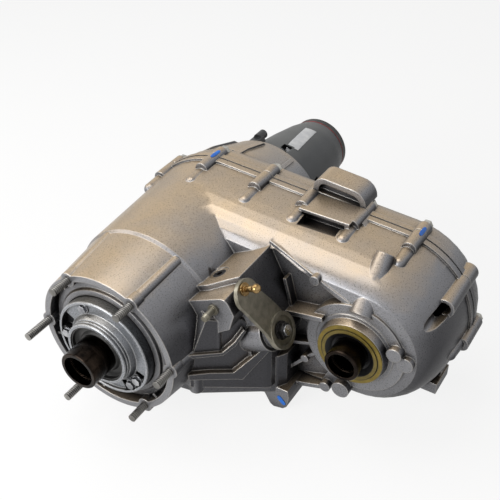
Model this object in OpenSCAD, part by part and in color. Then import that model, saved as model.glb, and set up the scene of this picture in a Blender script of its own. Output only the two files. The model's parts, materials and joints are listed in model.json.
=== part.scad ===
// Part-time chain-drive transfer case with a planetary low range.
// +X points to the front output, +Y to the tail, +Z up. The origin is the
// centre of the input flange face.

/* [Case] */
// Distance between the main axis and the front output axis
axis_gap = 245; // [240:1:252]
// Depth from the input flange face to the split between the case halves
split_y = 253; // [251:1:256]
// Outline radius of the case about the main axis at the split
main_r = 113; // [112:0.5:115]
// Outline radius of the case about the front output axis at the split
front_r = 99; // [98:0.5:101]
// Wall thickness of the castings
wall = 6; // [5:0.5:7]
// How far the shoulder of the case curves inwards
shoulder = 40; // [36:1:44]
// Thickness of each flange at the split
lip_t = 9; // [8:0.5:10]
// How far the flanges at the split stand out
lip_out = 2.5; // [2:0.5:4]
// Bead of sealant between the case halves
seal_gap = 0.8; // [0.5:0.1:1]
// Radius of the bolt lugs round the split
lug_r = 9; // [8:0.5:10]
// Radius of the case bolts
case_bolt_r = 4; // [3.5:0.5:4.5]

/* [Input drum] */
// Radius of the drum at the input flange
drum_r = 93; // [92:0.5:95]
// Radius of the drum just before its step
drum_step_r = 101.4; // [100:0.2:103]
// Distance from the flange face to the step in the drum
drum_step_y = 80; // [76:1:84]
// Height of the step in the drum
drum_step_h = 3; // [2:0.5:4]
// Radius of the drum where it meets the case
drum_end_r = 110; // [108:0.5:111]
// Radius of the circle of input studs
stud_circle_r = 88.5; // [88:0.5:89]
// Number of input studs
stud_count = 6; // [6:1:6]
// Radius of an input stud
stud_r = 4.76; // [4:0.01:5]
// Length of the shorter studs in front of the flange
stud_len = 26; // [24:1:30]
// Length of the longer studs in front of the flange
long_stud_len = 38; // [34:1:42]
// Width of the input flange's rim
rim_w = 8; // [7:0.5:9]
// Depth of the recess inside the rim
recess_depth = 14; // [12:1:16]

/* [Bearing retainer] */
// Outer radius of the bearing retainer
retainer_r = 64; // [62:0.5:66]
// How far the retainer's rim stands in front of the flange face
retainer_front = 8.6; // [7:0.2:10]
// How far the seal collar stands in front of the flange face
collar_front = 20; // [18:0.5:22]
// Radius of the seal bore
seal_bore_r = 37.5; // [36:0.5:39]

/* [Shafts] */
// Outer radius of the input tube
input_r = 24; // [23:0.5:25]
// How far the input tube stands in front of the flange face
input_front = 51; // [48:1:54]
// Outer radius of the front output tube
output_r = 21; // [20:0.5:22]
// Distance from the flange face to the end of the front output tube
output_y = 108.5; // [106:0.5:112]
// Distance from the flange face to the front output seal
output_seal_y = 131; // [129:0.5:133]
// Radius of the front output boss at its seal
output_boss_r = 40.6; // [40:0.2:42]
// Outer radius of the mainshaft's plain stretches
main_shaft_r = 20; // [19:0.5:21]

/* [Planetary gears] */
// Gear module
gear_m = 2.5; // [2.4:0.05:2.6]
// Teeth on the sun gear
sun_teeth = 36; // [36:4:36]
// Teeth on each planet gear
planet_teeth = 12; // [12:2:12]
// Number of planet gears
planet_count = 4; // [4:1:4]
// Pressure angle of the gears
pressure_angle = 25; // [22.5:0.5:25]
// Width of the planet gears
planet_w = 30; // [28:1:31]
// Gap cut from each flank for smooth running
backlash = 0.3; // [0.2:0.05:0.4]

/* [Chain drive] */
// Teeth on each sprocket
sprocket_teeth = 26; // [26:2:26]
// Links in the chain
chain_links = 66; // [66:2:66]
// Radius of the chain rollers
roller_r = 3.6; // [3.4:0.1:3.8]
// Width between the inner plates of the chain
chain_inner_w = 20; // [18:1:22]
// Thickness of a chain plate
plate_t = 3; // [2.5:0.25:3.25]

/* [Shift mechanism] */
// Distance from the flange face to the shift shaft
shift_y = 102; // [101:0.5:103]
// Depth of the shift shaft below the leaning facet
shift_depth = 81; // [80:0.5:82]
// How far the lever's inner face stands out from the tower
lever_out = 9; // [8:0.5:10]
// Radius of the lever's hub
lever_hub_r = 22; // [21:0.5:23]
// Thickness of the lever plate
lever_t = 5; // [4:0.5:6]
// Turn of the lever from high range to low range, in degrees
lever_turn = 38; // [34:1:38]
// Travel of the range fork over the lever's turn
range_travel = 14.5; // [13:0.5:14.5]
// Travel of the mode fork over the lever's turn
mode_travel = 8; // [7:0.5:8]
// Radius of the shift rail
rail_r = 6; // [5.5:0.25:6.5]

/* [Tail] */
// Distance from the flange face to the joint of rear case and tail
tail_y = 362; // [360:1:364]
// Distance from the flange face to the end of the tail
tail_end_y = 525; // [520:1:530]
// Radius of the tail housing at its front end
tail_front_r = 71; // [70:0.5:72]
// Radius of the tail housing at its rear end
tail_rear_r = 42; // [41:0.5:43]
// Radius of the bore that guides the slip yoke
yoke_r = 24; // [23.5:0.25:24.5]

/* [Hidden] */
$fn = 64;

// General clearances
run_gap = 0.06;
slip_gap = 0.3;
fit_gap = 0.05;
tap_end_r = stud_r - 0.3;

// Case shape
front_wall_y = 145;
pocket_y = 157;
cavity_y = pocket_y + wall;
shoulder_power = 2.6;
rear_y = split_y + seal_gap;
rear_depth = 46;
rear_shoulder = 30;
boss_front_r = output_boss_r;
boss_base_r = output_boss_r + 3.7;
bulkhead_y = recess_depth;
bulkhead_t = 22;

// Gear train
sun_pitch_r = gear_m * sun_teeth / 2;
planet_pitch_r = gear_m * planet_teeth / 2;
planet_orbit = sun_pitch_r + planet_pitch_r;
ring_teeth = sun_teeth + 2 * planet_teeth;
ring_pitch_r = gear_m * ring_teeth / 2;
gear_add = 0.9 * gear_m;
gear_ded = 1.15 * gear_m;
ring_outer_r = ring_pitch_r + gear_ded + 5.5;
gear_y = bulkhead_y + bulkhead_t + 6;
planet_y0 = gear_y + 0.5;
planet_y1 = planet_y0 + planet_w;
carrier_front_y = gear_y - 4.5;
carrier_rear_y = planet_y1 + 0.5;
carrier_rear_t = 10;
carrier_r = 76;
pin_r = 6;
dog_count = 32;
dog_r0 = 36.2;
dog_r1 = 39;
collar_y = gear_y + 18.5;
collar_band = 8;
journal_r = 32;
input_bearing_r = 50;
input_bearing_y = bulkhead_y;
input_bearing_w = 20;
carrier_front_t = 4;
hub_gap = 0.4;
spline_teeth = 24;
shaft_root_r = 24;
shaft_spline_r = 26.4;
pilot_r = 15;
snap_t = 2.2;
web_half = 20;

// Chain
chain_pitch = 2 * axis_gap / (chain_links - sprocket_teeth);
sprocket_r = chain_pitch / (2 * sin(180 / sprocket_teeth));
chain_y = split_y - 28;

// Shift tower: its facet leans towards the drum, and the whole mechanism leans with it
tower_x = 124;
facet_tilt = 26.8;
facet_z = 90.9;
tower_step_y = 56;
plug_r = 8;
plug_in = 39.2;

// Shift mechanism, in the tower's own directions
pin_drop = 14;
mode_rise = 13;
sector_x = -plug_in;
sector_t = 6;
sector_r = 22.5;
fork_pin_r = 3.5;
groove_r = 34;
groove_w = 7;
fork_t = 6.4;
range_groove_y = 109.25;
mode_groove_y = chain_y + 40.5;
range_pin_y = shift_y - range_travel / 2;
mode_pin_y = shift_y + mode_travel / 2;
rail_in = plug_in + 14;
rail_down = shift_depth + pin_drop;
rail_x = tower_x - rail_in * cos(facet_tilt) + rail_down * sin(facet_tilt);
rail_z = facet_z - rail_in * sin(facet_tilt) - rail_down * cos(facet_tilt);

// Parts of the tail
rear_bearing_y = 326;
rear_bearing_w = 20;
rear_bearing_r = 45;
rear_journal_r = 22.5;
yoke_y = 468;
yoke_len = 32;
seal_y = 504;
// Black rubber end of the tail, behind its red ring
cap_y = tail_end_y - 12;
ring_y = cap_y - 1.5;

// Bolt lugs round the split: [angle about the axis] on each arc, and places along the straights
main_lug_angles = [98, 137, 180, 223, 262];
front_lug_angles = [-80, -42, -6, 78];
straight_lugs = [62, 128, 194];
tube_angle = 34;
tube_r = 12;
tube_hole_r = 8;
tube_y = 200;

cast = [0.68, 0.66, 0.62];
dark_cast = [0.34, 0.35, 0.35];
steel = [0.62, 0.63, 0.65];
dark_steel = [0.20, 0.18, 0.16];
zinc = [0.60, 0.60, 0.54];

// Shapes that run along Y or X
module y_extrude(y0, y1) {
    translate([0, y1, 0]) rotate([90, 0, 0]) linear_extrude(y1 - y0) children();
}
module y_cyl(r, y0, y1, x = 0, z = 0) {
    translate([x, y1, z]) rotate([90, 0, 0]) cylinder(h = y1 - y0, r = r);
}
module y_cone(r0, r1, y0, y1, x = 0, z = 0) {
    translate([x, y1, z]) rotate([90, 0, 0]) cylinder(h = y1 - y0, r1 = r1, r2 = r0);
}
module y_ring(r_out, r_in, y0, y1, x = 0, z = 0) {
    difference() {
        y_cyl(r_out, y0, y1, x, z);
        y_cyl(r_in, y0 - 1, y1 + 1, x, z);
    }
}
module y_turn(x = 0, z = 0) {
    translate([x, 0, z]) rotate([-90, 0, 0]) rotate_extrude() children();
}
module x_cyl(r, x0, x1, y, z) {
    translate([x0, y, z]) rotate([0, 90, 0]) cylinder(h = x1 - x0, r = r);
}
module y_hex(r, y0, y1, x, z) {
    translate([x, y1, z]) rotate([90, 0, 0]) cylinder(h = y1 - y0, r = r, $fn = 6);
}

// The tower's directions: x along the shift shaft, z square to the facet
module on_tower() {
    translate([tower_x, shift_y, facet_z]) rotate([0, -facet_tilt, 0]) children();
}
// A round piece along the shift shaft
module shaft_cyl(r, x0, x1) {
    on_tower() x_cyl(r, x0, x1, 0, -shift_depth);
}
// A prism in the tower's directions, from y0 to y1 behind the flange face
module tower_extrude(y0, y1) {
    on_tower() translate([0, -shift_y, 0]) y_extrude(y0, y1) children();
}
// The slanted wall below the lever: x runs along it, y into the case
skirt_turn = 50.4;
module on_skirt() {
    translate([94, 32, 0]) rotate([0, 0, skirt_turn]) children();
}

// Outline of the case seen along Y: two arcs joined by their common tangents
function lean(r1, r2) = asin((r1 - r2) / axis_gap);
function case_outline(r1, r2, n1, n2) = let (a = lean(r1, r2)) concat(
    [for (i = [0:n1]) let (t = 90 - a + i * (180 + 2 * a) / n1) [r1 * cos(t), r1 * sin(t)]],
    [for (i = [0:n2]) let (t = -90 + a + i * (180 - 2 * a) / n2)
        [axis_gap + r2 * cos(t), r2 * sin(t)]]
);
// Height of the outline's upper straight at x
function top_z(x) = let (a = lean(main_r, front_r)) (main_r - x * sin(a)) / cos(a);

// Section of a shell: the share of the shoulder left at a share of the depth
function bulge(t) = pow(1 - pow(t, shoulder_power), 1 / shoulder_power);
shell_steps = [0, 0.2, 0.4, 0.56, 0.7, 0.82, 0.91, 0.97, 1];

// A casting shell, lofted through sections of the outline, from y0 to y1
module shell(r1, r2, inset, y0, y1) {
    n1 = 22;
    n2 = 20;
    rows = len(shell_steps);
    count = n1 + n2 + 2;
    rings = [for (t = shell_steps) let (d = inset * (1 - bulge(t)), y = y0 + t * (y1 - y0))
        [for (p = case_outline(r1 - d, r2 - d, n1, n2)) [p[0], y, p[1]]]];
    points = [for (ring = rings) each ring];
    flip = y1 > y0;
    sides = [for (k = [0:rows - 2]) for (i = [0:count - 1]) let (
        a = k * count + i, b = k * count + (i + 1) % count, c = b + count, d = a + count)
        flip ? [a, b, c, d] : [d, c, b, a]];
    first = [for (i = [0:count - 1]) i];
    last = [for (i = [0:count - 1]) (rows - 1) * count + i];
    back = [for (i = [count - 1:-1:0]) first[i]];
    end = [for (i = [count - 1:-1:0]) last[i]];
    polyhedron(points, concat(sides, flip ? [back, last] : [first, end]), convexity = 6);
}

// Centres of the bolt lugs
function arc_spot(r, a, x) = [x + r * cos(a), r * sin(a)];
function lug_spots() = concat(
    [for (a = main_lug_angles) arc_spot(main_r - 1, a, 0)],
    [for (a = front_lug_angles) arc_spot(front_r + 1, a, axis_gap)],
    [for (x = straight_lugs) [x, top_z(x)]],
    [for (x = straight_lugs) [x, -top_z(x)]]
);
tube_spot = arc_spot(front_r - 4.4, tube_angle, axis_gap);

// Gear tooth outline, with true involute flanks
function inv(a) = tan(a) * 180 / PI - a;
function half_tooth(r, z, m, loose) = let (
    rp = m * z / 2,
    rb = rp * cos(pressure_angle),
    a = r > rb ? acos(rb / r) : 0)
    90 / z - loose / 2 / rp * 180 / PI + inv(pressure_angle) - inv(a);
function gear_points(z, m, add, ded, loose) = let (
    rp = m * z / 2,
    rb = rp * cos(pressure_angle),
    r0 = rp - ded,
    base = max(r0 + 0.05, rb),
    radii = concat([r0], [for (k = [0:4]) base + (rp + add - base) * k / 4]))
    [for (i = [0:z - 1]) each concat(
        [for (k = [0:5]) let (a = i * 360 / z - half_tooth(radii[k], z, m, loose))
            [radii[k] * cos(a), radii[k] * sin(a)]],
        [for (k = [5:-1:0]) let (a = i * 360 / z + half_tooth(radii[k], z, m, loose))
            [radii[k] * cos(a), radii[k] * sin(a)]]
    )];
module gear_2d(z, m, add, ded, loose) {
    polygon(gear_points(z, m, add, ded, loose));
}
// Straight-sided splines or dog teeth
module spline_2d(n, r0, r1, share = 0.5, loose = 0) {
    step = 360 / n;
    half0 = share * step / 2 * 1.08 + loose / r0 * 180 / PI;
    half1 = share * step / 2 * 0.92 + loose / r1 * 180 / PI;
    polygon([for (i = [0:n - 1]) each [
        for (s = [[r0, -half0], [r1, -half1], [r1, half1], [r0, half0]])
            [s[0] * cos(i * step + s[1]), s[0] * sin(i * step + s[1])]
    ]]);
}

// A rib on the front wall, between two points seen along Y
module wall_rib(p, q, t, y0, y1) {
    v = (q - p) / norm(q - p);
    n = [-v[1], v[0]] * t / 2;
    y_extrude(y0, y1) polygon([p + n, p - n, q - n, q + n]);
}

// A rib whose front edge slopes from depth yp at p to depth yq at q
module slope_rib(p, q, t, yp, yq, y1) {
    v = q - p;
    translate([p[0], 0, p[1]]) rotate([0, -atan2(v[1], v[0]), 0]) translate([0, 0, -t / 2])
        linear_extrude(t) polygon([[0, yp], [norm(v), yq], [norm(v), y1], [0, y1]]);
}

// The front casting
module drum_body() {
    y_turn() polygon([
        [0, 0], [drum_r, 0], [drum_step_r, drum_step_y],
        [drum_step_r + drum_step_h, drum_step_y + 3],
        [drum_end_r, 195], [drum_end_r + 1, split_y - 20], [0, split_y - 20]
    ]);
}
module stud_ribs() {
    for (i = [0:stud_count - 1]) {
        a = 2 + i * 360 / stud_count;
        x = stud_circle_r * cos(a);
        z = stud_circle_r * sin(a);
        y_cyl(9.5, 0, 14, x, z);
        translate([x, 2, z]) rotate([-90, 0, 0]) rotate([5.4 * sin(a), 5.4 * cos(a), 0])
            cylinder(h = drum_step_y, r = 8);
    }
}
module front_lugs() {
    for (p = lug_spots()) {
        big = p[0] > axis_gap + 60 ? 1.5 : 0;
        y_cyl(lug_r, split_y - 30, split_y, p[0], p[1]);
        q = [p[0] > axis_gap ? axis_gap + (p[0] - axis_gap) * 0.94 : p[0], p[1] * 0.94];
        y_cone(lug_r - 1, lug_r + big, split_y - 52, split_y - 20, q[0], q[1]);
        translate([q[0], split_y - 52, q[1]]) sphere(r = lug_r - 0.8);
    }
    y_cyl(tube_r, tube_y, split_y, tube_spot[0], tube_spot[1]);
    wall_rib([axis_gap + 55, 38], tube_spot, 5, tube_y - 2, split_y - 20);
    wall_rib([axis_gap + 60, 70], tube_spot, 5, tube_y + 8, split_y - 20);
}
// The pad that bears a pry bar, with its dark slot in front
pry_x0 = 129;
pry_x1 = 195;
pry_top = top_z(pry_x0) + 5;
module pry_block() {
    translate([pry_x0, split_y - 39, pry_top - 26]) cube([pry_x1 - pry_x0, 39, 26]);
    y_extrude(split_y - 20, split_y) polygon([
        [pry_x1 - 1, pry_top], [pry_x1 + 14, top_z(pry_x1) - 2], [pry_x1 + 14, pry_top - 20],
        [pry_x1 - 1, pry_top - 26]
    ]);
}
// Dark slot in the block's front, and the slope that leads down to it
module pry_slot() {
    y0 = split_y - 39;
    x_extrude(pry_x0 + 4, pry_x1 - 6)
        polygon([[y0 - 1, pry_top - 20], [y0 + 13, pry_top - 20], [y0 + 13, pry_top - 4], [y0 - 1, pry_top - 4]]);
    x_extrude(pry_x0 + 8, pry_x1 - 10)
        polygon([[y0 - 27, pry_top + 2], [y0 - 25, pry_top - 6], [y0 + 1, pry_top - 20], [y0 + 1, pry_top - 4],
            [y0, pry_top - 4], [y0, pry_top + 2]]);
}
module tower_body() {
    // upper part, under the facet
    on_tower() translate([0, 0, -62]) linear_extrude(62) polygon([
        [-90, -27], [-38, -26], [-14, -17], [0, -12.5], [0, 64], [-5, 63], [-45, 51], [-90, 45]
    ]);
    // step in front of it
    tower_extrude(tower_step_y, 95) polygon([
        [-80, -7], [-8, -7], [-3, -9], [-0.8, -13], [0, -18], [0, -30], [-15, -47], [-48, -54], [-80, -54]
    ]);
    // body round the shift shaft
    tower_extrude(86, 112) polygon([
        [-90, -20], [0, -20], [0, -81], [-28, -86], [-36, -118], [-60, -128], [-120, -124]
    ]);
    tower_extrude(110, 172) polygon([
        [-90, -20], [0, -20], [0, -100], [-10, -112], [-60, -128], [-120, -124]
    ]);
    shaft_cyl(24, -60, 0);
    shaft_cyl(19, -60, lever_out - 0.5);
}
module front_boss() {
    y_cone(boss_front_r, boss_base_r, output_seal_y, output_seal_y + 13, axis_gap);
    y_cyl(boss_base_r + 4, output_seal_y + 10, cavity_y, axis_gap);
    y_cyl(boss_base_r + 17, front_wall_y - 3, cavity_y, axis_gap);
}
// Skirt, gusset ribs and lower boss under the shift lever
// Slanted wall under the lever, with its ridges
module skirt_body() {
    intersection() {
        translate([0, 0, -100]) linear_extrude(170) polygon([
            [60, 30], [92.5, 31], [152.5, 103.5], [156, 108.6], [157, 118], [157, 170], [60, 170]
        ]);
        y_extrude(0, 200) polygon([
            [60, -38], [87, -45], [128, -68], [151, -81], [158, -84], [158, -8], [150, 9],
            [133, 39], [117.5, 49], [107, 54], [97, 8], [60, 8]
        ]);
    }
}
module skirt_ridges() {
    on_skirt() {
        // lit panel with a rounded edge
        y_extrude(-2, 20) polygon([[3, 9], [33, 2], [33, 48], [19, 53]]);
        translate([33, 2.4, 1]) cylinder(h = 47.3, r = 4.6);
        // upper ridge
        y_extrude(-6, 14) polygon([
            [-3, 9.5], [36, 1.5], [50, 12.5], [62, 29], [65, 26], [52, 7], [37, -3], [-3, 4.5]
        ]);
        // lower ridge
        y_extrude(-6, 14) polygon([
            [-5, -21], [20, -26], [49, -35], [91, -4], [92, -15], [60, -50], [50, -46], [-5, -29]
        ]);
    }
}
module lower_front() {
    skirt_body();
    skirt_ridges();
    // smooth lower skirt
    translate([0, 0, -98]) linear_extrude(60) polygon([
        [40, 60], [78, 66], [142, 108], [152, 113], [160, 120], [166, 130], [168, 170], [40, 170]
    ]);
    // lower boss
    y_extrude(118, 172) polygon([
        [139, -90], [141, -107], [150, -123], [155, -126], [168, -123], [173, -118], [176, -101], [174, -90]
    ]);
    translate([93, 43, -60]) cylinder(h = 26, r = 9);
}
module front_ribs() {
    p1 = [122, 93.5];
    p2 = [189.5, 75.5];
    p3 = [233, 59];
    y = front_wall_y;
    slope_rib(p1, p2, 5, 158, y + 1, 185);
    slope_rib(p2, p3, 5, y + 1, y - 1, 175);
    y_cyl(6, y - 3, 170, p2[0], p2[1]);
    wall_rib([150, 16], [160, 20], 6, y - 12, 170);
    wall_rib([158, 20], [206, 30], 6, y - 10, 170);
    wall_rib([150, 60], [160, 22], 4, y, 170);
    wall_rib([160, 20], [206, -4], 4, y + 2, 170);
    wall_rib([150, -36], [204, -16], 4, y - 2, 170);
    wall_rib([150, -88], [184, -46], 4, y - 5, 170);
    wall_rib([184, -46], [206, -24], 4, y - 2, 170);
    y_cyl(5, y - 6, 170, 184, -46);
    wall_rib([162, -98], [214, -80], 6, y - 5, 170);
    y_cyl(7, y - 6, 170, 213, -79);
    y_cyl(11, y - 12, 170, 236, -66);
    y_cyl(9, y - 11, 170, 295, 20);
    y_cyl(10, y - 5, 172, 307, 6);
    // swelling rib over the front output boss
    translate([axis_gap + 4, y - 1, 50]) rotate([-46, 0, 0]) cylinder(h = 74, r1 = 15, r2 = 11);
    // flat foot under the front output
    translate([290, split_y - 46, -88]) cube([40, 40, 16]);
}
module pocket() {
    y_extrude(front_wall_y - 25, pocket_y) polygon([
        [tower_x, 88], [132, 89], [190, 71.5], [226, 57], [208, 38], [199, 10], [199, -12],
        [206, -34], [216, -50], [206, -76], [160, -92], [tower_x, -60]
    ]);
}
module front_case_outside() {
    difference() {
        shell(main_r, front_r, shoulder, split_y - lip_t + 1, front_wall_y);
        pocket();
    }
    drum_body();
    stud_ribs();
    y_extrude(split_y - lip_t, split_y)
        polygon(case_outline(main_r + lip_out, front_r + lip_out, 44, 40));
    front_lugs();
    pry_block();
    tower_body();
    front_boss();
    lower_front();
    front_ribs();
}
module front_case_inside() {
    difference() {
        shell(main_r - wall, front_r - wall, shoulder - 2, split_y + 0.1, cavity_y);
        translate([pry_x0, split_y - 68, pry_top - 26]) cube([pry_x1 - pry_x0, 48, 30]);
    }
    difference() {
        y_turn() polygon([
            [0, -1], [drum_r - rim_w, -1], [drum_r - rim_w - 1, recess_depth], [0, recess_depth]
        ]);
        for (i = [0:stud_count - 1]) {
            a = 2 + i * 360 / stud_count;
            y_cyl(9, -2, recess_depth + 1, stud_circle_r * cos(a), stud_circle_r * sin(a));
        }
    }
    y_turn() polygon([
        [0, recess_depth - 1], [input_bearing_r + fit_gap, recess_depth - 1],
        [input_bearing_r + fit_gap, input_bearing_y + input_bearing_w],
        [input_bearing_r - 4, input_bearing_y + input_bearing_w],
        [input_bearing_r - 4, bulkhead_y + bulkhead_t],
        [carrier_r + 2, bulkhead_y + bulkhead_t], [carrier_r + 2, gear_y],
        [ring_outer_r + fit_gap, gear_y], [ring_outer_r + fit_gap, planet_y1 + 0.2],
        [ring_outer_r + 2, planet_y1 + 0.2], [ring_outer_r + 2, planet_y1 + 0.3 + snap_t],
        [ring_outer_r + fit_gap, planet_y1 + 0.3 + snap_t],
        [ring_outer_r + fit_gap, planet_y1 + 5.5], [ring_outer_r + 6, planet_y1 + 8],
        [ring_outer_r + 11, cavity_y + 2], [0, cavity_y + 2]
    ]);
    // room for the sector and the forks inside the tower
    on_tower() translate([-100, -15, -rail_down - 11])
        cube([100 + sector_x - sector_t / 2 + 0.2, 87, 49]);
    shaft_cyl(sector_r + 0.8, sector_x - sector_t / 2 - 1, sector_x + sector_t / 2 + 1.6);
    shaft_cyl(8 + run_gap, sector_x, lever_out);
    shaft_cyl(11, lever_out - 5, lever_out);
    // front output bearing and seal
    y_cyl(36 + fit_gap, output_seal_y + 13, cavity_y + 1, axis_gap);
    y_cyl(33, output_seal_y - 1, output_seal_y + 15, axis_gap);
    y_cyl(36 + fit_gap, output_seal_y - 1, output_seal_y + 10, axis_gap);
    // detent bore, square to the leaning facet
    on_facet() {
        translate([0, 0, sector_r - shift_depth]) cylinder(h = shift_depth, r = 5.5);
        translate([0, 0, -9]) cylinder(h = 20, r = plug_r + fit_gap);
        translate([0, 0, -1]) cylinder(h = 10, r = 12);
    }
    // bolts, studs and vent
    for (p = lug_spots()) y_cyl(case_bolt_r + fit_gap, split_y - 24, split_y + 1, p[0], p[1]);
    for (i = [0:stud_count - 1]) {
        a = 2 + i * 360 / stud_count;
        y_cyl(tap_end_r + fit_gap, -1, 26, stud_circle_r * cos(a), stud_circle_r * sin(a));
        y_cyl(stud_r + fit_gap, -1, 0.8, stud_circle_r * cos(a), stud_circle_r * sin(a));
    }
    retainer_bolt_spots() y_cyl(3 + fit_gap, recess_depth - 1, recess_depth + 16);
    pry_slot();
    y_cyl(tube_hole_r, tube_y - 1, split_y + 1, tube_spot[0], tube_spot[1]);
    y_cyl(tube_hole_r + 0.8, tube_y - 60, tube_y, tube_spot[0], tube_spot[1]);
    y_cyl(4 + fit_gap, tower_step_y - 1, tower_step_y + 14, vent_x, vent_z);
    // rail seat in front of the forks
    y_cyl(rail_r + fit_gap, rail_y0 - 0.5, shift_y, rail_x, rail_z);
}
// The recess in the flange: a stepped floor round the retainer, and small nubs at the rim
module recess_floor() {
    y_turn() polygon([
        [retainer_r + 1, recess_depth + 1], [retainer_r + 1, 4], [71, 5], [73, 8.5], [80, 9.5],
        [83, recess_depth + 1]
    ]);
    for (a = [17:60:359])
        rotate([0, -a, 0]) translate([drum_r - rim_w - 6, 4, -1.5]) cube([7, recess_depth - 3, 3]);
}
module front_case() color(cast) {
    difference() {
        front_case_outside();
        front_case_inside();
    }
    recess_floor();
}

// The rear casting
module rear_outside() {
    shell(main_r, front_r, rear_shoulder, rear_y + lip_t - 1, rear_y + rear_depth);
    y_turn() polygon([
        [0, rear_y + 5], [main_r - 3, rear_y + 5], [104, rear_y + rear_depth + 3],
        [91, tail_y - 18], [86.5, tail_y - 3], [83, tail_y], [0, tail_y]
    ]);
    y_extrude(rear_y, rear_y + lip_t)
        polygon(case_outline(main_r + lip_out, front_r + lip_out, 44, 40));
    for (p = lug_spots()) {
        y_cyl(lug_r, rear_y, rear_y + 18, p[0], p[1]);
        y_cyl(lug_r, rear_y + 5, rear_y + 30, p[0] > axis_gap ? axis_gap + (p[0] - axis_gap) * 0.9
            : p[0] * 0.9 + (p[0] > 60 ? 0.1 * p[0] : 0), p[1] * 0.9);
    }
    y_cyl(tube_r, rear_y, rear_y + 25, tube_spot[0], tube_spot[1]);
    // ribs that spread from the rear bearing
    for (a = [30:30:330]) rotate([0, -a, 0])
        translate([60, rear_y + 30, -3]) rotate([0, 0, 0]) linear_extrude(6) polygon([
            [0, 0], [52, -14], [46, 22], [34, 62], [22, tail_y - rear_y - 34], [0, tail_y - rear_y - 34]
        ]);
    // ribs across the chain case, and the rear boss of the front output
    y_cyl(33, rear_y + 20, rear_y + rear_depth + 8, axis_gap);
    for (a = [-60:30:270]) translate([axis_gap, 0, 0]) rotate([0, -a, 0])
        translate([24, rear_y + rear_depth - 12, -2.5]) cube([48, 15, 5]);
    for (z = [-52, 0, 52]) translate([100, rear_y + rear_depth - 10, z - 2.5]) cube([120, 13, 5]);
    for (s = plug_spots) y_cyl(17, rear_y + rear_depth - 8, rear_y + rear_depth + 4, s[0], s[1]);
}
plug_spots = [[160, 26], [176, -62]];
// The pad above the split, with its scooped front face
module rear_pad() {
    x0 = 129;
    x1 = 195;
    top = top_z(x0) + 27;
    y_extrude(rear_y, rear_y + 32) polygon(concat(
        [[x0 - 6, top - 52], [x0 - 2, top - 14]],
        [for (a = [180:-15:90]) [x0 + 12 + 14 * cos(a), top - 14 + 14 * sin(a)]],
        [for (a = [90:-15:0]) [x1 - 18 + 20 * cos(a), top - 23 + 20 * sin(a)]],
        [[x1 + 8, top - 52]]
    ));
}
module rear_scoop() {
    x0 = 129;
    x1 = 195;
    top = top_z(x0) + 20;
    y_extrude(rear_y - 1, rear_y + 9) polygon(concat(
        [[x0 + 4, top - 13], [x0 + 5, top - 9]],
        [for (a = [180:-30:90]) [x0 + 13 + 8 * cos(a), top - 8 + 8 * sin(a)]],
        [for (a = [90:-15:0]) [x1 - 19 + 14 * cos(a), top - 17 + 14 * sin(a)]]
    ));
}
module rear_case() color(cast) {
    difference() {
        union() {
            rear_outside();
            difference() {
                rear_pad();
                rear_scoop();
            }
        }
        difference() {
            union() {
                shell(main_r - wall, front_r - wall, rear_shoulder - 2, rear_y - 0.1,
                    rear_y + rear_depth - wall);
                y_turn() polygon([
                    [0, rear_y - 1], [main_r - 14, rear_y - 1], [main_r - 15, rear_y + 40],
                    [88, rear_y + 50], [50, rear_bearing_y - 6], [0, rear_bearing_y - 6]
                ]);
            }
            y_cyl(rail_r + 4.5, rear_y + 22, rear_y + 60, rail_x, rail_z);
            y_cyl(28, rear_y + 15, rear_y + 60, axis_gap);
        }
        y_cyl(rear_bearing_r - 5, rear_bearing_y - 8, tail_y + 1);
        y_cyl(rear_bearing_r + fit_gap, rear_bearing_y, tail_y + 1);
        y_cyl(22 + fit_gap, rear_y + 10, rear_y + 36, axis_gap);
        y_cyl(18, rear_y + 10, rear_y + 46, axis_gap);
        y_cyl(rail_r + fit_gap, rear_y + 20, rear_y + 33, rail_x, rail_z);
        for (p = lug_spots()) y_cyl(case_bolt_r + fit_gap, rear_y - 1, rear_y + 60, p[0], p[1]);
        y_cyl(tube_hole_r + 1, rear_y - 1, rear_y + 60, tube_spot[0], tube_spot[1]);
        for (s = plug_spots)
            y_cyl(9 + fit_gap, rear_y + rear_depth - 20, rear_y + rear_depth + 5, s[0], s[1]);
        for (a = tail_bolt_angles)
            y_cyl(3.5 + fit_gap, tail_y - 24, tail_y + 1, 62 * cos(a), 62 * sin(a));
        for (p = lug_spots()) y_cyl(8, rear_y + 18, rear_y + 40, p[0], p[1]);
    }
}
tail_bolt_angles = [20, 80, 140, 200, 260, 320];

module case_sealant() color([0.08, 0.08, 0.09]) {
    y_extrude(split_y, rear_y) difference() {
        union() {
            difference() {
                polygon(case_outline(main_r + lip_out + 0.6, front_r + lip_out + 0.6, 44, 40));
                polygon(case_outline(main_r - wall + 1, front_r - wall + 1, 44, 40));
            }
            for (p = lug_spots()) translate(p) circle(r = lug_r - 0.5);
        }
        for (p = lug_spots()) translate(p) circle(r = case_bolt_r + fit_gap);
        translate(tube_spot) circle(r = tube_hole_r + 1);
    }
}

retainer_bolt_angles = [115, 182, 245, -49, -33];
retainer_floor = -5;
module retainer_bolt_spots() {
    for (a = retainer_bolt_angles) rotate([0, -a, 0]) translate([54, 0, 0]) children();
}
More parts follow.
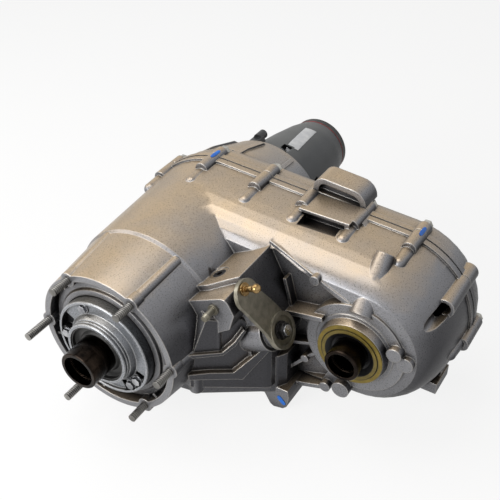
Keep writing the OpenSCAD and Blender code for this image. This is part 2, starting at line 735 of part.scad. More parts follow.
// A pocket in the retainer's face between two angles
module retainer_pocket(a0, a1) {
    r0 = 47;
    r1 = retainer_r - 3.5;
    y_extrude(-retainer_front - 1, 4) polygon(concat(
        [for (k = [0:6]) let (a = a0 + (a1 - a0) * k / 6) [r1 * cos(a), r1 * sin(a)]],
        [for (k = [6:-1:0]) let (a = a0 + (a1 - a0) * k / 6) [r0 * cos(a), r0 * sin(a)]]
    ));
}
module bearing_retainer() color(cast) {
    difference() {
        y_turn() polygon([
            [seal_bore_r, -collar_front], [seal_bore_r + 3, -collar_front],
            [seal_bore_r + 4, -collar_front + 1], [seal_bore_r + 4, -collar_front + 4],
            [seal_bore_r + 3.2, -collar_front + 4.5], [seal_bore_r + 4.3, -collar_front + 5],
            [seal_bore_r + 4.5, -collar_front + 7.5], [seal_bore_r + 3.7, -collar_front + 8],
            [seal_bore_r + 5, -collar_front + 8.5], [46, retainer_floor],
            [retainer_r - 4.5, retainer_floor], [retainer_r - 4, -retainer_front + 0.5],
            [retainer_r - 3.5, -retainer_front], [retainer_r - 1, -retainer_front],
            [retainer_r, -retainer_front + 1],
            [retainer_r, recess_depth], [36, recess_depth], [36, -8], [seal_bore_r, -8]
        ]);
        for (p = [[150, 176], [188, 214], [-65, -55], [-43, -39], [-27, -18]])
            retainer_pocket(p[0], p[1]);
        retainer_bolt_spots() {
            y_cyl(3 + fit_gap, -20, recess_depth + 1);
            y_cyl(7.2, -retainer_front - 1, retainer_floor + 0.5);
        }
    }
}
module retainer_bolts() color(steel) {
    retainer_bolt_spots() {
        y_cyl(3, retainer_floor - 1, recess_depth + 15);
        y_cyl(6.5, retainer_floor - 1, retainer_floor + 0.5);
        y_hex(5.6, retainer_floor - 5, retainer_floor, 0, 0);
    }
}
module input_seal() color([0.10, 0.10, 0.10]) {
    y_turn() polygon([
        [seal_bore_r - fit_gap, -collar_front + 1.5], [seal_bore_r - fit_gap, -8],
        [32, -8], [32, -10], [input_r + 3, -10], [input_r + 0.15, -13], [input_r + 0.15, -15],
        [input_r + 1.5, -15], [input_r + 4, -12], [33.5, -12], [35.5, -14],
        [seal_bore_r - 2, -collar_front + 1.5]
    ]);
}

// Ball bearings: races with a round groove, and balls joined by their cage
module race(r_out, r_in, y0, y1, mid, ball, x = 0) {
    difference() {
        y_ring(r_out, r_in, y0, y1, x);
        y_turn(x) translate([mid, (y0 + y1) / 2]) circle(r = ball + 0.15);
    }
}
module ball_set(n, mid, ball, y, x = 0) {
    y_ring(mid + 0.9, mid - 0.9, y - 1.6, y + 1.6, x);
    for (i = [0:n - 1])
        translate([x, y, 0]) rotate([90, i * 360 / n, 0]) translate([mid, 0, 0]) sphere(r = ball);
}
input_mid = (input_bearing_r + journal_r) / 2;
input_ball = 6;
module input_bearing_outer() color(steel)
    race(input_bearing_r, input_bearing_r - 5, input_bearing_y, input_bearing_y + input_bearing_w,
        input_mid, input_ball);
module input_bearing_inner() color(steel)
    race(journal_r + 5, journal_r + fit_gap, input_bearing_y, input_bearing_y + input_bearing_w,
        input_mid, input_ball);
module input_bearing_balls() color([0.8, 0.8, 0.8])
    ball_set(12, input_mid, input_ball, input_bearing_y + input_bearing_w / 2);

// The input gear: tube, journal, sun teeth and the dog teeth inside them
module input_gear() color(dark_steel) {
    difference() {
        union() {
            y_turn() polygon([
                [0, -input_front], [input_r - 0.8, -input_front], [input_r, -input_front + 0.8],
                [input_r, 5], [journal_r - 1, 8], [journal_r, 9], [journal_r, bulkhead_y + bulkhead_t],
                [carrier_bore - hub_gap, bulkhead_y + bulkhead_t + 0.5],
                [carrier_bore - hub_gap, gear_y + 0.5], [0, gear_y + 0.5]
            ]);
            y_extrude(planet_y0, planet_y1) gear_2d(sun_teeth, gear_m, gear_add, gear_ded, backlash);
        }
        y_cyl(19.5, -input_front - 1, -input_front + 10);
        y_extrude(-input_front + 9, 16) spline_2d(27, 16.6, 18.4);
        y_cyl(pilot_r + run_gap, gear_y - 2, gear_y + 20);
        y_extrude(gear_y + 15.5, planet_y1 + 1) {
            spline_2d(dog_count, dog_r0 + 0.3, dog_r1 + 0.1, 0.5, 0.15);
        }
    }
}
carrier_bore = 38.2;

module ring_gear() color(steel) {
    y_extrude(gear_y + 0.2, planet_y1 + 0.2) difference() {
        circle(r = ring_outer_r);
        rotate(180 / ring_teeth) gear_2d(ring_teeth, gear_m, gear_ded, gear_add, -backlash);
    }
}
module ring_gear_snap_ring() color(dark_steel) {
    y0 = planet_y1 + 0.2;
    difference() {
        y_ring(ring_outer_r + 1.8, ring_outer_r - 4.5, y0 + 0.05, y0 + snap_t);
        translate([-130, y0 - 1, -6]) cube([80, snap_t + 2, 12]);
    }
}

// Planet gears, their pins and the carrier
module on_orbit() {
    for (i = [0:planet_count - 1]) rotate([0, -i * 360 / planet_count, 0])
        translate([planet_orbit, 0, 0]) children();
}
module planet_carrier() color(steel) {
    difference() {
        union() {
            y_ring(carrier_r, carrier_bore, carrier_front_y, carrier_front_y + carrier_front_t);
            y_cyl(carrier_r, carrier_rear_y, carrier_rear_y + carrier_rear_t);
            for (i = [0:planet_count - 1]) rotate([0, -(i + 0.5) * 360 / planet_count, 0])
                y_extrude(carrier_front_y, carrier_rear_y + 1) polygon(concat(
                    [for (a = [-web_half:5:web_half]) [71 * cos(a), 71 * sin(a)]],
                    [for (a = [web_half:-5:-web_half]) [49.5 * cos(a), 49.5 * sin(a)]]
                ));
        }
        on_orbit() y_cyl(pin_r + run_gap, carrier_front_y - 1, carrier_rear_y + carrier_rear_t + 1);
        y_extrude(carrier_rear_y - 1, carrier_rear_y + carrier_rear_t + 1)
            spline_2d(dog_count, dog_r0 + 0.3, dog_r1 + 0.1, 0.5, 0.15);
    }
}
module planet_pins() color(steel) {
    on_orbit() y_cyl(pin_r, carrier_front_y, carrier_rear_y + carrier_rear_t);
}
module planet_gear(i) color(steel) {
    beta = i * 360 / planet_count;
    translate([planet_orbit * cos(beta), 0, planet_orbit * sin(beta)]) difference() {
        y_extrude(planet_y0, planet_y1) rotate(beta + 180 / planet_teeth)
            gear_2d(planet_teeth, gear_m, gear_add, gear_ded, backlash);
        y_cyl(pin_r + run_gap, planet_y0 - 1, planet_y1 + 1);
    }
}

// The mainshaft, from its pilot in the input gear to the splines of the slip yoke
spline_y0 = gear_y + 16.5;
spline_y1 = range_groove_y + range_travel + 9;
thrust_y = chain_y - 22;
module mainshaft() color(steel) {
    y_turn() polygon([
        [0, gear_y - 1], [pilot_r - 1, gear_y - 1], [pilot_r, gear_y], [pilot_r, spline_y0],
        [shaft_root_r, spline_y0], [shaft_root_r, thrust_y], [30, thrust_y], [30, thrust_y + 5],
        [shaft_root_r, thrust_y + 5], [shaft_root_r, hub_y1 + 3], [rear_journal_r, hub_y1 + 4],
        [rear_journal_r, rear_bearing_y + rear_bearing_w + 6], [main_shaft_r, rear_bearing_y + rear_bearing_w + 7],
        [main_shaft_r, tail_y + 16], [16.6, tail_y + 18], [16.6, tail_end_y - 66],
        [15, tail_end_y - 64], [0, tail_end_y - 64]
    ]);
    y_extrude(spline_y0, spline_y1) spline_2d(spline_teeth, shaft_root_r - 0.2, shaft_spline_r);
    y_extrude(tail_y + 20, tail_end_y - 66) spline_2d(27, 16.4, 18.2);
}
module range_collar() color(steel) {
    g0 = range_groove_y - groove_w / 2;
    difference() {
        union() {
            y_extrude(collar_y, collar_y + collar_band) spline_2d(dog_count, dog_r0, dog_r1 - 0.2);
            y_turn() polygon([
                [0, collar_y], [dog_r0 - 1, collar_y], [dog_r0 - 1, collar_y + collar_band],
                [33, collar_y + collar_band + 1], [33, g0 - 3], [groove_r + 10, g0 - 3],
                [groove_r + 10, g0], [groove_r, g0], [groove_r, g0 + groove_w],
                [groove_r + 10, g0 + groove_w], [groove_r + 10, g0 + groove_w + 3], [0, g0 + groove_w + 3]
            ]);
        }
        y_extrude(collar_y - 1, g0 + groove_w + 4)
            spline_2d(spline_teeth, shaft_root_r + 0.2, shaft_spline_r + 0.2, 0.5, 0.12);
    }
}

// Mode hub and sleeve behind the drive sprocket
hub_y0 = chain_y + 28;
hub_y1 = chain_y + 51;
mode_dog_r0 = 32;
mode_dog_r1 = 34.6;
module mode_hub() color(steel) {
    difference() {
        y_extrude(hub_y0, hub_y1) spline_2d(dog_count, mode_dog_r0, mode_dog_r1);
        y_cyl(shaft_root_r + fit_gap, hub_y0 - 1, hub_y1 + 1);
    }
}
module mode_sleeve() color(steel) {
    g0 = mode_groove_y - groove_w / 2;
    y0 = chain_y + 26;
    difference() {
        y_turn() polygon([
            [30, y0], [40, y0], [44, y0 + 3], [44, g0], [groove_r + 5.5, g0],
            [groove_r + 5.5, g0 + groove_w], [44, g0 + groove_w], [44, g0 + groove_w + 3],
            [30, g0 + groove_w + 3]
        ]);
        y_extrude(y0 - 1, g0 + groove_w + 4)
            spline_2d(dog_count, mode_dog_r0 + 0.2, mode_dog_r1 + 0.2, 0.5, 0.15);
    }
}

// The chain drive
module sprocket_2d() {
    difference() {
        circle(r = sprocket_r + 2.3);
        for (i = [0:sprocket_teeth - 1]) rotate(90 + i * 360 / sprocket_teeth)
            translate([sprocket_r, 0]) {
                circle(r = roller_r + slip_gap, $fn = 32);
                polygon([[0, -roller_r - slip_gap], [6, -roller_r - 2], [6, roller_r + 2], [0, roller_r + slip_gap]]);
            }
    }
}
sprocket_w = chain_inner_w - 0.6;
module drive_sprocket() color(steel) {
    difference() {
        union() {
            y_extrude(chain_y - sprocket_w / 2, chain_y + sprocket_w / 2) sprocket_2d();
            y_cyl(36, thrust_y + 5.5, chain_y + 17.5);
            y_extrude(chain_y + 17, chain_y + 25) spline_2d(dog_count, mode_dog_r0, mode_dog_r1);
        }
        y_cyl(shaft_root_r + run_gap, thrust_y, chain_y + 30);
    }
}
module driven_sprocket() color(steel) {
    difference() {
        union() {
            translate([axis_gap, 0, 0])
                y_extrude(chain_y - sprocket_w / 2, chain_y + sprocket_w / 2) sprocket_2d();
            y_cyl(34, chain_y - 16, chain_y + 16, axis_gap);
        }
        y_cyl(output_shoulder_r + fit_gap, chain_y - 20, chain_y + 20, axis_gap);
    }
}
output_shoulder_r = 23.5;
// Chain pivots, walked once round both sprockets
function pivot(k) = let (n = axis_gap / chain_pitch, h = sprocket_teeth / 2, s = 360 / sprocket_teeth)
    k < n ? [k * chain_pitch, sprocket_r, 0]
    : k < n + h ? arc_pivot(axis_gap, 90 - (k - n) * s)
    : k < 2 * n + h ? [axis_gap - (k - n - h) * chain_pitch, -sprocket_r, 0]
    : arc_pivot(0, 270 - (k - 2 * n - h) * s);
function arc_pivot(x, a) = [x + sprocket_r * cos(a), sprocket_r * sin(a), 0];
module link_plate(l, y0) {
    y_extrude(y0, y0 + plate_t) {
        circle(r = 5.2, $fn = 32);
        translate([l, 0]) circle(r = 5.2, $fn = 32);
        translate([0, -4.3]) square([l, 8.6]);
    }
}
module drive_chain() color(steel) {
    half = chain_inner_w / 2;
    for (k = [0:chain_links - 1]) {
        p = pivot(k);
        q = pivot((k + 1) % chain_links);
        d = q - p;
        a = atan2(d[1], d[0]);
        l = norm(d);
        inner = k % 2 == 0;
        y0 = inner ? half : half + plate_t + 0.3;
        translate([p[0], chain_y, p[1]]) rotate([0, -a, 0]) {
            difference() {
                union() {
                    link_plate(l, y0);
                    link_plate(l, -y0 - plate_t);
                    for (x = [0, l]) if (inner) y_cyl(roller_r, -half - 0.1, half + 0.1, x);
                }
                for (x = [0, l]) if (inner) y_cyl(2.1, -half - 5, half + 5, x);
            }
            if (!inner) for (x = [0, l]) y_cyl(1.9, -y0 - plate_t - 1, y0 + plate_t + 1, x);
        }
    }
}

// Front output
front_bearing_y = front_wall_y;
front_bearing_w = 17;
front_bearing_r = 36;
front_mid = 28.5;
front_ball = 4;
needle_y = rear_y + 14;
needle_len = 20;
front_journal_r = 17;
module front_output_shaft() color(dark_steel) {
    difference() {
        y_turn(axis_gap) polygon([
            [0, output_y], [output_r - 0.8, output_y], [output_r, output_y + 0.8],
            [output_r, front_bearing_y + front_bearing_w + 1], [27, front_bearing_y + front_bearing_w + 2],
            [27, chain_y - 17], [output_shoulder_r, chain_y - 16.5], [output_shoulder_r, chain_y + 20],
            [20, chain_y + 22], [front_journal_r, needle_y - 2], [front_journal_r, needle_y + needle_len + 2],
            [front_journal_r - 1, needle_y + needle_len + 3], [0, needle_y + needle_len + 3]
        ]);
        y_cyl(16.5, output_y - 1, output_y + 10, axis_gap);
        translate([axis_gap, 0, 0]) y_extrude(output_y + 9, output_y + 46) spline_2d(24, 13.8, 15.4);
    }
}
module front_bearing_outer() color(steel)
    race(front_bearing_r, front_bearing_r - 4, front_bearing_y, front_bearing_y + front_bearing_w,
        front_mid, front_ball, axis_gap);
module front_bearing_inner() color(steel)
    race(output_r + 4, output_r + fit_gap, front_bearing_y, front_bearing_y + front_bearing_w,
        front_mid, front_ball, axis_gap);
module front_bearing_balls() color([0.8, 0.8, 0.8])
    ball_set(12, front_mid, front_ball, front_bearing_y + front_bearing_w / 2, axis_gap);
module front_output_seal() color([0.72, 0.64, 0.25]) {
    y = output_seal_y;
    y_turn(axis_gap) polygon([
        [boss_front_r - 0.2, y], [boss_front_r - 0.2, y - 1.6], [35.2, y - 1.6], [35.2, y + 8],
        [output_r + 3, y + 8], [output_r + 0.15, y + 7], [output_r + 0.15, y + 9.9],
        [front_bearing_r, y + 9.9], [front_bearing_r, y]
    ]);
}
module dust_shield() color([0.72, 0.64, 0.25]) {
    y = output_seal_y;
    y_turn(axis_gap) polygon([
        [34.6, y - 2.4], [34.6, y - 1], [31, y - 1], [25, y + 4.5], [output_r + fit_gap, y + 5.5],
        [output_r + fit_gap, y + 4], [24.4, y + 3], [30.4, y - 2.4]
    ]);
}
module rear_needle_bearing() color(steel) {
    y_ring(22, 20.4, needle_y, needle_y + needle_len, axis_gap);
    for (i = [0:19]) y_cyl(1.7, needle_y + 1, needle_y + needle_len - 1,
        axis_gap + 18.85 * cos(i * 18), 18.85 * sin(i * 18));
}

// Rear bearing of the mainshaft
rear_mid = 33.5;
rear_ball = 6;
module main_bearing_outer() color(steel)
    race(rear_bearing_r, 39, rear_bearing_y, rear_bearing_y + rear_bearing_w, rear_mid, rear_ball);
module main_bearing_inner() color(steel)
    race(28, rear_journal_r + fit_gap, rear_bearing_y, rear_bearing_y + rear_bearing_w, rear_mid, rear_ball);
module main_bearing_balls() color([0.8, 0.8, 0.8])
    ball_set(12, rear_mid, rear_ball, rear_bearing_y + rear_bearing_w / 2);

// Oil pump with its pickup tube and filter
pump_r = 47;
pump_y0 = rear_bearing_y - 24;
pump_y1 = rear_bearing_y - 6;
pickup = [22, -36];
elbow = [[pickup[0], pump_y0 - 10, pickup[1]], [60, rear_y + 20, -66], [66, rear_y + 20, -74]];
module oil_pump() color(cast) {
    difference() {
        union() {
            y_cyl(pump_r, pump_y0 + 3, pump_y1);
            y_cyl(34, pump_y0, pump_y0 + 4);
            y_cyl(9, pump_y0 - 4, pump_y0 + 5, pickup[0], pickup[1]);
        }
        y_cyl(rear_journal_r + slip_gap, pump_y0 - 1, pump_y1 + 1);
        y_cyl(5 + fit_gap, pump_y0 - 5, pump_y0 + 6, pickup[0], pickup[1]);
    }
}
module rod(p, q, r) {
    v = q - p;
    translate(p) rotate([0, acos(v[2] / norm(v)), atan2(v[1], v[0])]) cylinder(h = norm(v), r = r);
}
module pickup_tube() color(steel) {
    y_cyl(5, elbow[0][1], pump_y0 + 4, elbow[0][0], elbow[0][2]);
    translate(elbow[0]) sphere(r = 5.5);
    rod(elbow[0], elbow[1], 5);
    translate(elbow[1]) sphere(r = 5.5);
    translate([elbow[1][0], elbow[1][1], -80]) cylinder(h = 14, r = 5);
}
module pickup_filter() color([0.25, 0.25, 0.27]) {
    difference() {
        translate([elbow[1][0] - 20, elbow[1][1] - 12, -88]) cube([40, 24, 11]);
        translate([elbow[1][0], elbow[1][1], -80.1]) cylinder(h = 14, r = 5 + fit_gap);
        for (i = [0:6])
            translate([elbow[1][0] - 17 + i * 5, elbow[1][1] - 9, -89]) cube([3, 18, 3]);
    }
}
module chip_magnet() color([0.15, 0.15, 0.16])
    y_cyl(11, rear_y + rear_depth - wall - 5, rear_y + rear_depth - wall, 146, -50);

// Shift shaft with its slotted sector, and the lever outside
function slot_path(y_start, travel, z) = [for (k = [0:6]) let (
    t = lever_turn * k / 6, y = y_start + travel * k / 6)
    [y * cos(t) + z * sin(t), -y * sin(t) + z * cos(t)]];
// The point of a path that lies furthest in direction u
function furthest(path, u) = let (reach = max([for (p = path) p * u]))
    [for (p = path) if (p * u > reach - 0.001) p][0];
module slot_2d(path, w) {
    polygon([for (b = [0:10:350]) let (u = [cos(b), sin(b)]) furthest(path, u) + u * w]);
}
module sector_2d() {
    w = fork_pin_r + slip_gap;
    difference() {
        circle(r = sector_r);
        slot_2d(slot_path(-range_travel / 2, range_travel, -pin_drop), w);
        slot_2d(slot_path(mode_travel / 2, -mode_travel, mode_rise), w);
        for (a = [0, 0.5, 1]) rotate(90 - a * lever_turn) translate([sector_r + 2.4, 0]) circle(r = 4.5);
    }
}
// 2-D (x, y) -> (Y, Z), extruded along X
module x_extrude(x0, x1) {
    translate([x0, 0, 0]) rotate([90, 0, 90]) linear_extrude(x1 - x0) children();
}
module sector_shaft() color(steel) {
    on_tower() translate([0, 0, -shift_depth])
        x_extrude(sector_x - sector_t / 2, sector_x + sector_t / 2) sector_2d();
    shaft_cyl(8, sector_x, lever_out);
    shaft_cyl(6.5, lever_out - 1, lever_out + 13);
}
// The lever: a flat plate with a cupped hub, and the stud near its tip
lever_tip = [-25.5, -16];
stud_spot = [-28, -7];
module lever_2d() {
    translate([0, -shift_depth]) circle(r = lever_hub_r);
    translate(lever_tip) circle(r = 18.5);
    polygon([
        [-lever_hub_r, -shift_depth], [-24, -70], [-35, -41], [-43.6, -19], [-25.5, -16], [-8, -10],
        [-5, -24], [2.5, -38], [9.5, -53], [15.5, -71], [lever_hub_r, -shift_depth]
    ]);
}
module shift_lever() color(zinc) {
    face = lever_out + lever_t;
    difference() {
        union() {
            on_tower() x_extrude(lever_out, face) lever_2d();
            shaft_cyl(lever_hub_r, lever_out, face + 2);
        }
        shaft_cyl(17.6, face - 2, face + 5);
        shaft_cyl(6.5 + fit_gap, lever_out - 1, face);
        on_tower() x_cyl(4 + fit_gap, lever_out - 1, face + 1, stud_spot[0], stud_spot[1]);
    }
}
module lever_nut() color([0.20, 0.20, 0.20]) {
    base = lever_out + lever_t - 2;
    difference() {
        union() {
            shaft_cyl(11, base, base + 2);
            on_tower() translate([base + 1, 0, -shift_depth]) rotate([0, 90, 0])
                cylinder(h = 6.5, r = 9.6, $fn = 6);
        }
        shaft_cyl(6.5 + fit_gap, lever_out, lever_out + 30);
    }
}
module ball_stud() color([0.80, 0.62, 0.25]) {
    on_tower() translate([lever_out, stud_spot[0], stud_spot[1]]) rotate([0, 90, 0]) {
        translate([0, 0, -2]) cylinder(h = lever_t + 4, r = 4);
        translate([0, 0, lever_t]) cylinder(h = 2, r = 7.5);
        translate([0, 0, lever_t + 1]) cylinder(h = 14, r = 3.4);
        translate([0, 0, 22]) sphere(r = 5.5);
        translate([0, 0, 11]) cylinder(h = 8, r1 = 3.4, r2 = 4.2);
        translate([0, 0, -3]) cylinder(h = 3, r = 6);
    }
}

// Shift forks on their rail
module fork(y, r_in, r_out) {
    y_extrude(y - fork_t / 2, y + fork_t / 2) difference() {
        union() {
            circle(r = r_out);
            polygon([[20, -44], [rail_x, rail_z - 9], [rail_x, rail_z + 9], [30, 40]]);
        }
        circle(r = r_in);
        translate([-r_out - 5, -r_out - 5]) square([r_out - 5, 2 * r_out + 10]);
    }
}
module range_fork() color(cast) {
    difference() {
        union() {
            fork(range_groove_y, groove_r + 1, 50);
            y_cyl(10, range_pin_y - 6, range_groove_y + 10, rail_x, rail_z);
            on_tower() x_cyl(fork_pin_r, -rail_in, sector_x + sector_t / 2 + 1, range_pin_y - shift_y, -rail_down);
        }
        y_cyl(rail_r + run_gap, range_pin_y - 20, range_groove_y + 20, rail_x, rail_z);
    }
}
module mode_fork() color(cast) {
    tube_y0 = range_groove_y + range_travel + 10 + mode_travel + 1;
    arm_x = sector_x - sector_t / 2 - 7.5;
    pin_z = mode_rise - shift_depth;
    difference() {
        union() {
            fork(mode_groove_y, groove_r + 6.3, 52);
            y_cyl(9, tube_y0, mode_groove_y + fork_t / 2, rail_x, rail_z);
            on_tower() {
                translate([arm_x, tube_y0 - shift_y, -rail_down]) cube([7, 9, pin_z + rail_down + 4.5]);
                translate([arm_x, mode_pin_y - shift_y - 5, pin_z - 4.5])
                    cube([7, tube_y0 - mode_pin_y + 10, 9]);
                x_cyl(fork_pin_r, arm_x, sector_x + sector_t / 2 + 1, mode_pin_y - shift_y, pin_z);
            }
        }
        y_cyl(rail_r + run_gap, tube_y0 - 1, mode_groove_y + 10, rail_x, rail_z);
    }
}
rail_y0 = 78;
module shift_rail() color(steel) {
    y_cyl(rail_r, rail_y0, rear_y + 32, rail_x, rail_z);
}

// The detent that holds the sector, square to the facet
tip_r = 3.5;
tip_depth = shift_depth - sector_r - tip_r - 0.4;
module on_facet() {
    on_tower() translate([-plug_in, 0, 0]) children();
}
module detent_plunger() color(steel) {
    on_facet() {
        translate([0, 0, -tip_depth + 3]) cylinder(h = 12, r = 5);
        translate([0, 0, -tip_depth]) cylinder(h = 4, r1 = tip_r, r2 = 5);
        translate([0, 0, -tip_depth]) sphere(r = tip_r);
    }
}
spring_top = -9;
module detent_spring() color(steel) {
    turns = 5;
    wire = 0.8;
    steps = 18;
    coil = 3.8;
    low = -tip_depth + 15 + wire;
    high = spring_top - wire;
    n = turns * steps;
    ring = [for (k = [0:n]) for (j = [0:7]) let (a = k * 360 / steps, b = j * 45, r = coil + wire * cos(b))
        [r * cos(a), r * sin(a), low + (high - low) * k / n + wire * sin(b)]];
    faces = concat(
        [for (k = [0:n - 1]) for (j = [0:7]) let (a = k * 8 + j, b = k * 8 + (j + 1) % 8)
            [a, b, b + 8, a + 8]],
        [[for (j = [7:-1:0]) j]], [[for (j = [0:7]) n * 8 + j]]
    );
    on_facet() polyhedron(ring, faces, convexity = 8);
}
module detent_plug() color([0.25, 0.25, 0.25]) {
    on_facet() difference() {
        translate([0, 0, spring_top]) cylinder(h = 8, r = plug_r);
        translate([0, 0, spring_top + 3]) cylinder(h = 8, r = 4, $fn = 6);
    }
}

// Vent, speed sensor and tone ring
vent_x = 112;
vent_z = 63.5;
module vent() color([0.45, 0.45, 0.42]) {
    y_cyl(4, tower_step_y - 2, tower_step_y + 13, vent_x, vent_z);
    y_cyl(6.5, tower_step_y - 3, tower_step_y, vent_x, vent_z);
    y_cyl(4, tower_step_y - 16, tower_step_y - 2, vent_x, vent_z);
    y_cone(3.6, 4.8, tower_step_y - 20, tower_step_y - 15, vent_x, vent_z);
}
tone_y = tail_y + 8;
sensor_angle = 110;
module tone_ring() color(steel) {
    difference() {
        y_extrude(tone_y, tone_y + 8) spline_2d(20, 27, 30);
        y_cyl(main_shaft_r + fit_gap, tone_y - 1, tone_y + 9);
    }
}
module on_sensor() {
    rotate([0, 90 - sensor_angle, 0]) translate([0, tone_y + 4, 0]) children();
}
sensor_seat = 73;
module speed_sensor() color([0.10, 0.10, 0.10]) {
    on_sensor() {
        translate([0, 0, 31]) cylinder(h = sensor_seat - 30, r = 7);
        translate([-9, -8, sensor_seat]) cube([18, 18, 8]);
        translate([0, 22, sensor_seat + 6.6]) rotate([90, 0, 0]) cylinder(h = 16, r = 6.5);
    }
}

// Fasteners
module case_bolts() color(steel) {
    for (p = lug_spots()) {
        y_cyl(case_bolt_r, split_y - 22, rear_y + 20, p[0], p[1]);
        y_cyl(7.6, rear_y + 18, rear_y + 19.5, p[0], p[1]);
        y_hex(6.9, rear_y + 19, rear_y + 26, p[0], p[1]);
    }
}
module mount_studs() color(steel) {
    for (i = [0:stud_count - 1]) {
        a = 2 + i * 360 / stud_count;
        x = stud_circle_r * cos(a);
        z = stud_circle_r * sin(a);
        long = i == 3 || i == 4;
        // the nut end stands on the flange, and the thinner tap end sits in it
        y_cyl(stud_r, (long ? -long_stud_len : -stud_len) + 1, -0.05, x, z);
        y_cyl(tap_end_r, -1, 25, x, z);
    }
}
module oil_plugs() color(steel) {
    for (s = plug_spots) {
        y = rear_y + rear_depth + 4;
        y_cyl(9, y - 14, y, s[0], s[1]);
        difference() {
            y_cyl(13, y, y + 4, s[0], s[1]);
            translate([s[0] - 5, y + 1, s[1] - 5]) cube([10, 5, 10]);
        }
    }
}

// Tail housing
tail_flange_t = 9;
module tail_housing() color(dark_cast) {
    difference() {
        union() {
            y_turn() polygon([
                [0, tail_y], [tail_front_r, tail_y], [tail_front_r + 0.5, tail_y + tail_flange_t],
                [67.5, tail_y + tail_flange_t + 5], [63.5, tail_y + 54], [58.9, tail_y + 87],
                [52.2, tail_y + 125], [tail_rear_r + 3.6, ring_y], [0, ring_y]
            ]);
            for (a = tail_bolt_angles)
                y_cyl(9, tail_y, tail_y + tail_flange_t + 6, 62 * cos(a) * 1.06, 62 * sin(a) * 1.06);
            on_sensor() translate([0, 0, 50]) cylinder(h = sensor_seat - 50, r = 11);
            y_ring(rear_bearing_r - fit_gap, rear_bearing_r - 6, rear_bearing_y + rear_bearing_w, tail_y + 1);
        }
        y_turn() polygon([
            [0, tail_y - 1], [38, tail_y - 1], [38, tail_y + 2], [50, tail_y + 8], [48, tail_y + 60],
            [36, yoke_y - 6], [yoke_r + 1, yoke_y - 2], [0, yoke_y - 2]
        ]);
        y_cyl(yoke_r + 1, yoke_y - 10, tail_end_y);
        y_cyl(yoke_r + 3 + fit_gap, yoke_y, tail_end_y);
        y_cyl(34 + fit_gap, seal_y, tail_end_y);
        on_sensor() translate([0, 0, 20]) cylinder(h = 60, r = 7 + fit_gap);
        for (a = tail_bolt_angles) {
            y_cyl(3.5 + fit_gap, tail_y - 1, tail_y + 30, 62 * cos(a), 62 * sin(a));
            y_cyl(7.5, tail_y + tail_flange_t, tail_y + 40, 62 * cos(a), 62 * sin(a));
        }
    }
}
module tail_bolts() color(steel) {
    for (a = tail_bolt_angles) {
        x = 62 * cos(a);
        z = 62 * sin(a);
        y_cyl(3.5, tail_y - 22, tail_y + tail_flange_t + 2, x, z);
        y_hex(6, tail_y + tail_flange_t, tail_y + tail_flange_t + 6, x, z);
    }
}
module tail_bushing() color([0.60, 0.45, 0.25])
    y_ring(yoke_r + 3, yoke_r, yoke_y, yoke_y + yoke_len);
module tail_seal() color([0.10, 0.10, 0.11]) {
    y_turn() polygon([
        [34, seal_y], [34, cap_y], [tail_rear_r + 3.4, cap_y], [tail_rear_r + 3, tail_end_y - 2],
        [tail_rear_r + 1, tail_end_y], [27, tail_end_y], [yoke_r + 0.3, tail_end_y - 4],
        [yoke_r + 0.3, tail_end_y - 8], [29, tail_end_y - 6], [31, seal_y]
    ]);
}
module tail_ring() color([0.65, 0.10, 0.10])
    y_ring(tail_rear_r + 4, 34 + fit_gap, ring_y, cap_y - 0.1);

front_case();
rear_case();
tail_housing();
case_sealant();
bearing_retainer();
retainer_bolts();
input_seal();
input_bearing_outer();
input_bearing_balls();
input_bearing_inner();
input_gear();
ring_gear();
ring_gear_snap_ring();
planet_carrier();
planet_pins();
planet_gear(0);  // planet_gear_1
planet_gear(1);  // planet_gear_2
planet_gear(2);  // planet_gear_3
planet_gear(3);  // planet_gear_4
mainshaft();
range_collar();
mode_hub();
mode_sleeve();
drive_sprocket();
driven_sprocket();
drive_chain();
front_output_shaft();
front_bearing_outer();
front_bearing_balls();
front_bearing_inner();
front_output_seal();
dust_shield();
rear_needle_bearing();
main_bearing_outer();
main_bearing_balls();
main_bearing_inner();
oil_pump();
pickup_tube();
pickup_filter();
sector_shaft();
shift_lever();
lever_nut();
ball_stud();
range_fork();
mode_fork();
shift_rail();
detent_plunger();
detent_spring();
detent_plug();
vent();
speed_sensor();
tone_ring();
chip_magnet();
case_bolts();
mount_studs();
oil_plugs();
tail_bolts();
tail_bushing();
tail_seal();
tail_ring();
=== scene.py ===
import json
import math

import bmesh
import bpy
from mathutils import Matrix, Vector
from mathutils.bvhtree import BVHTree


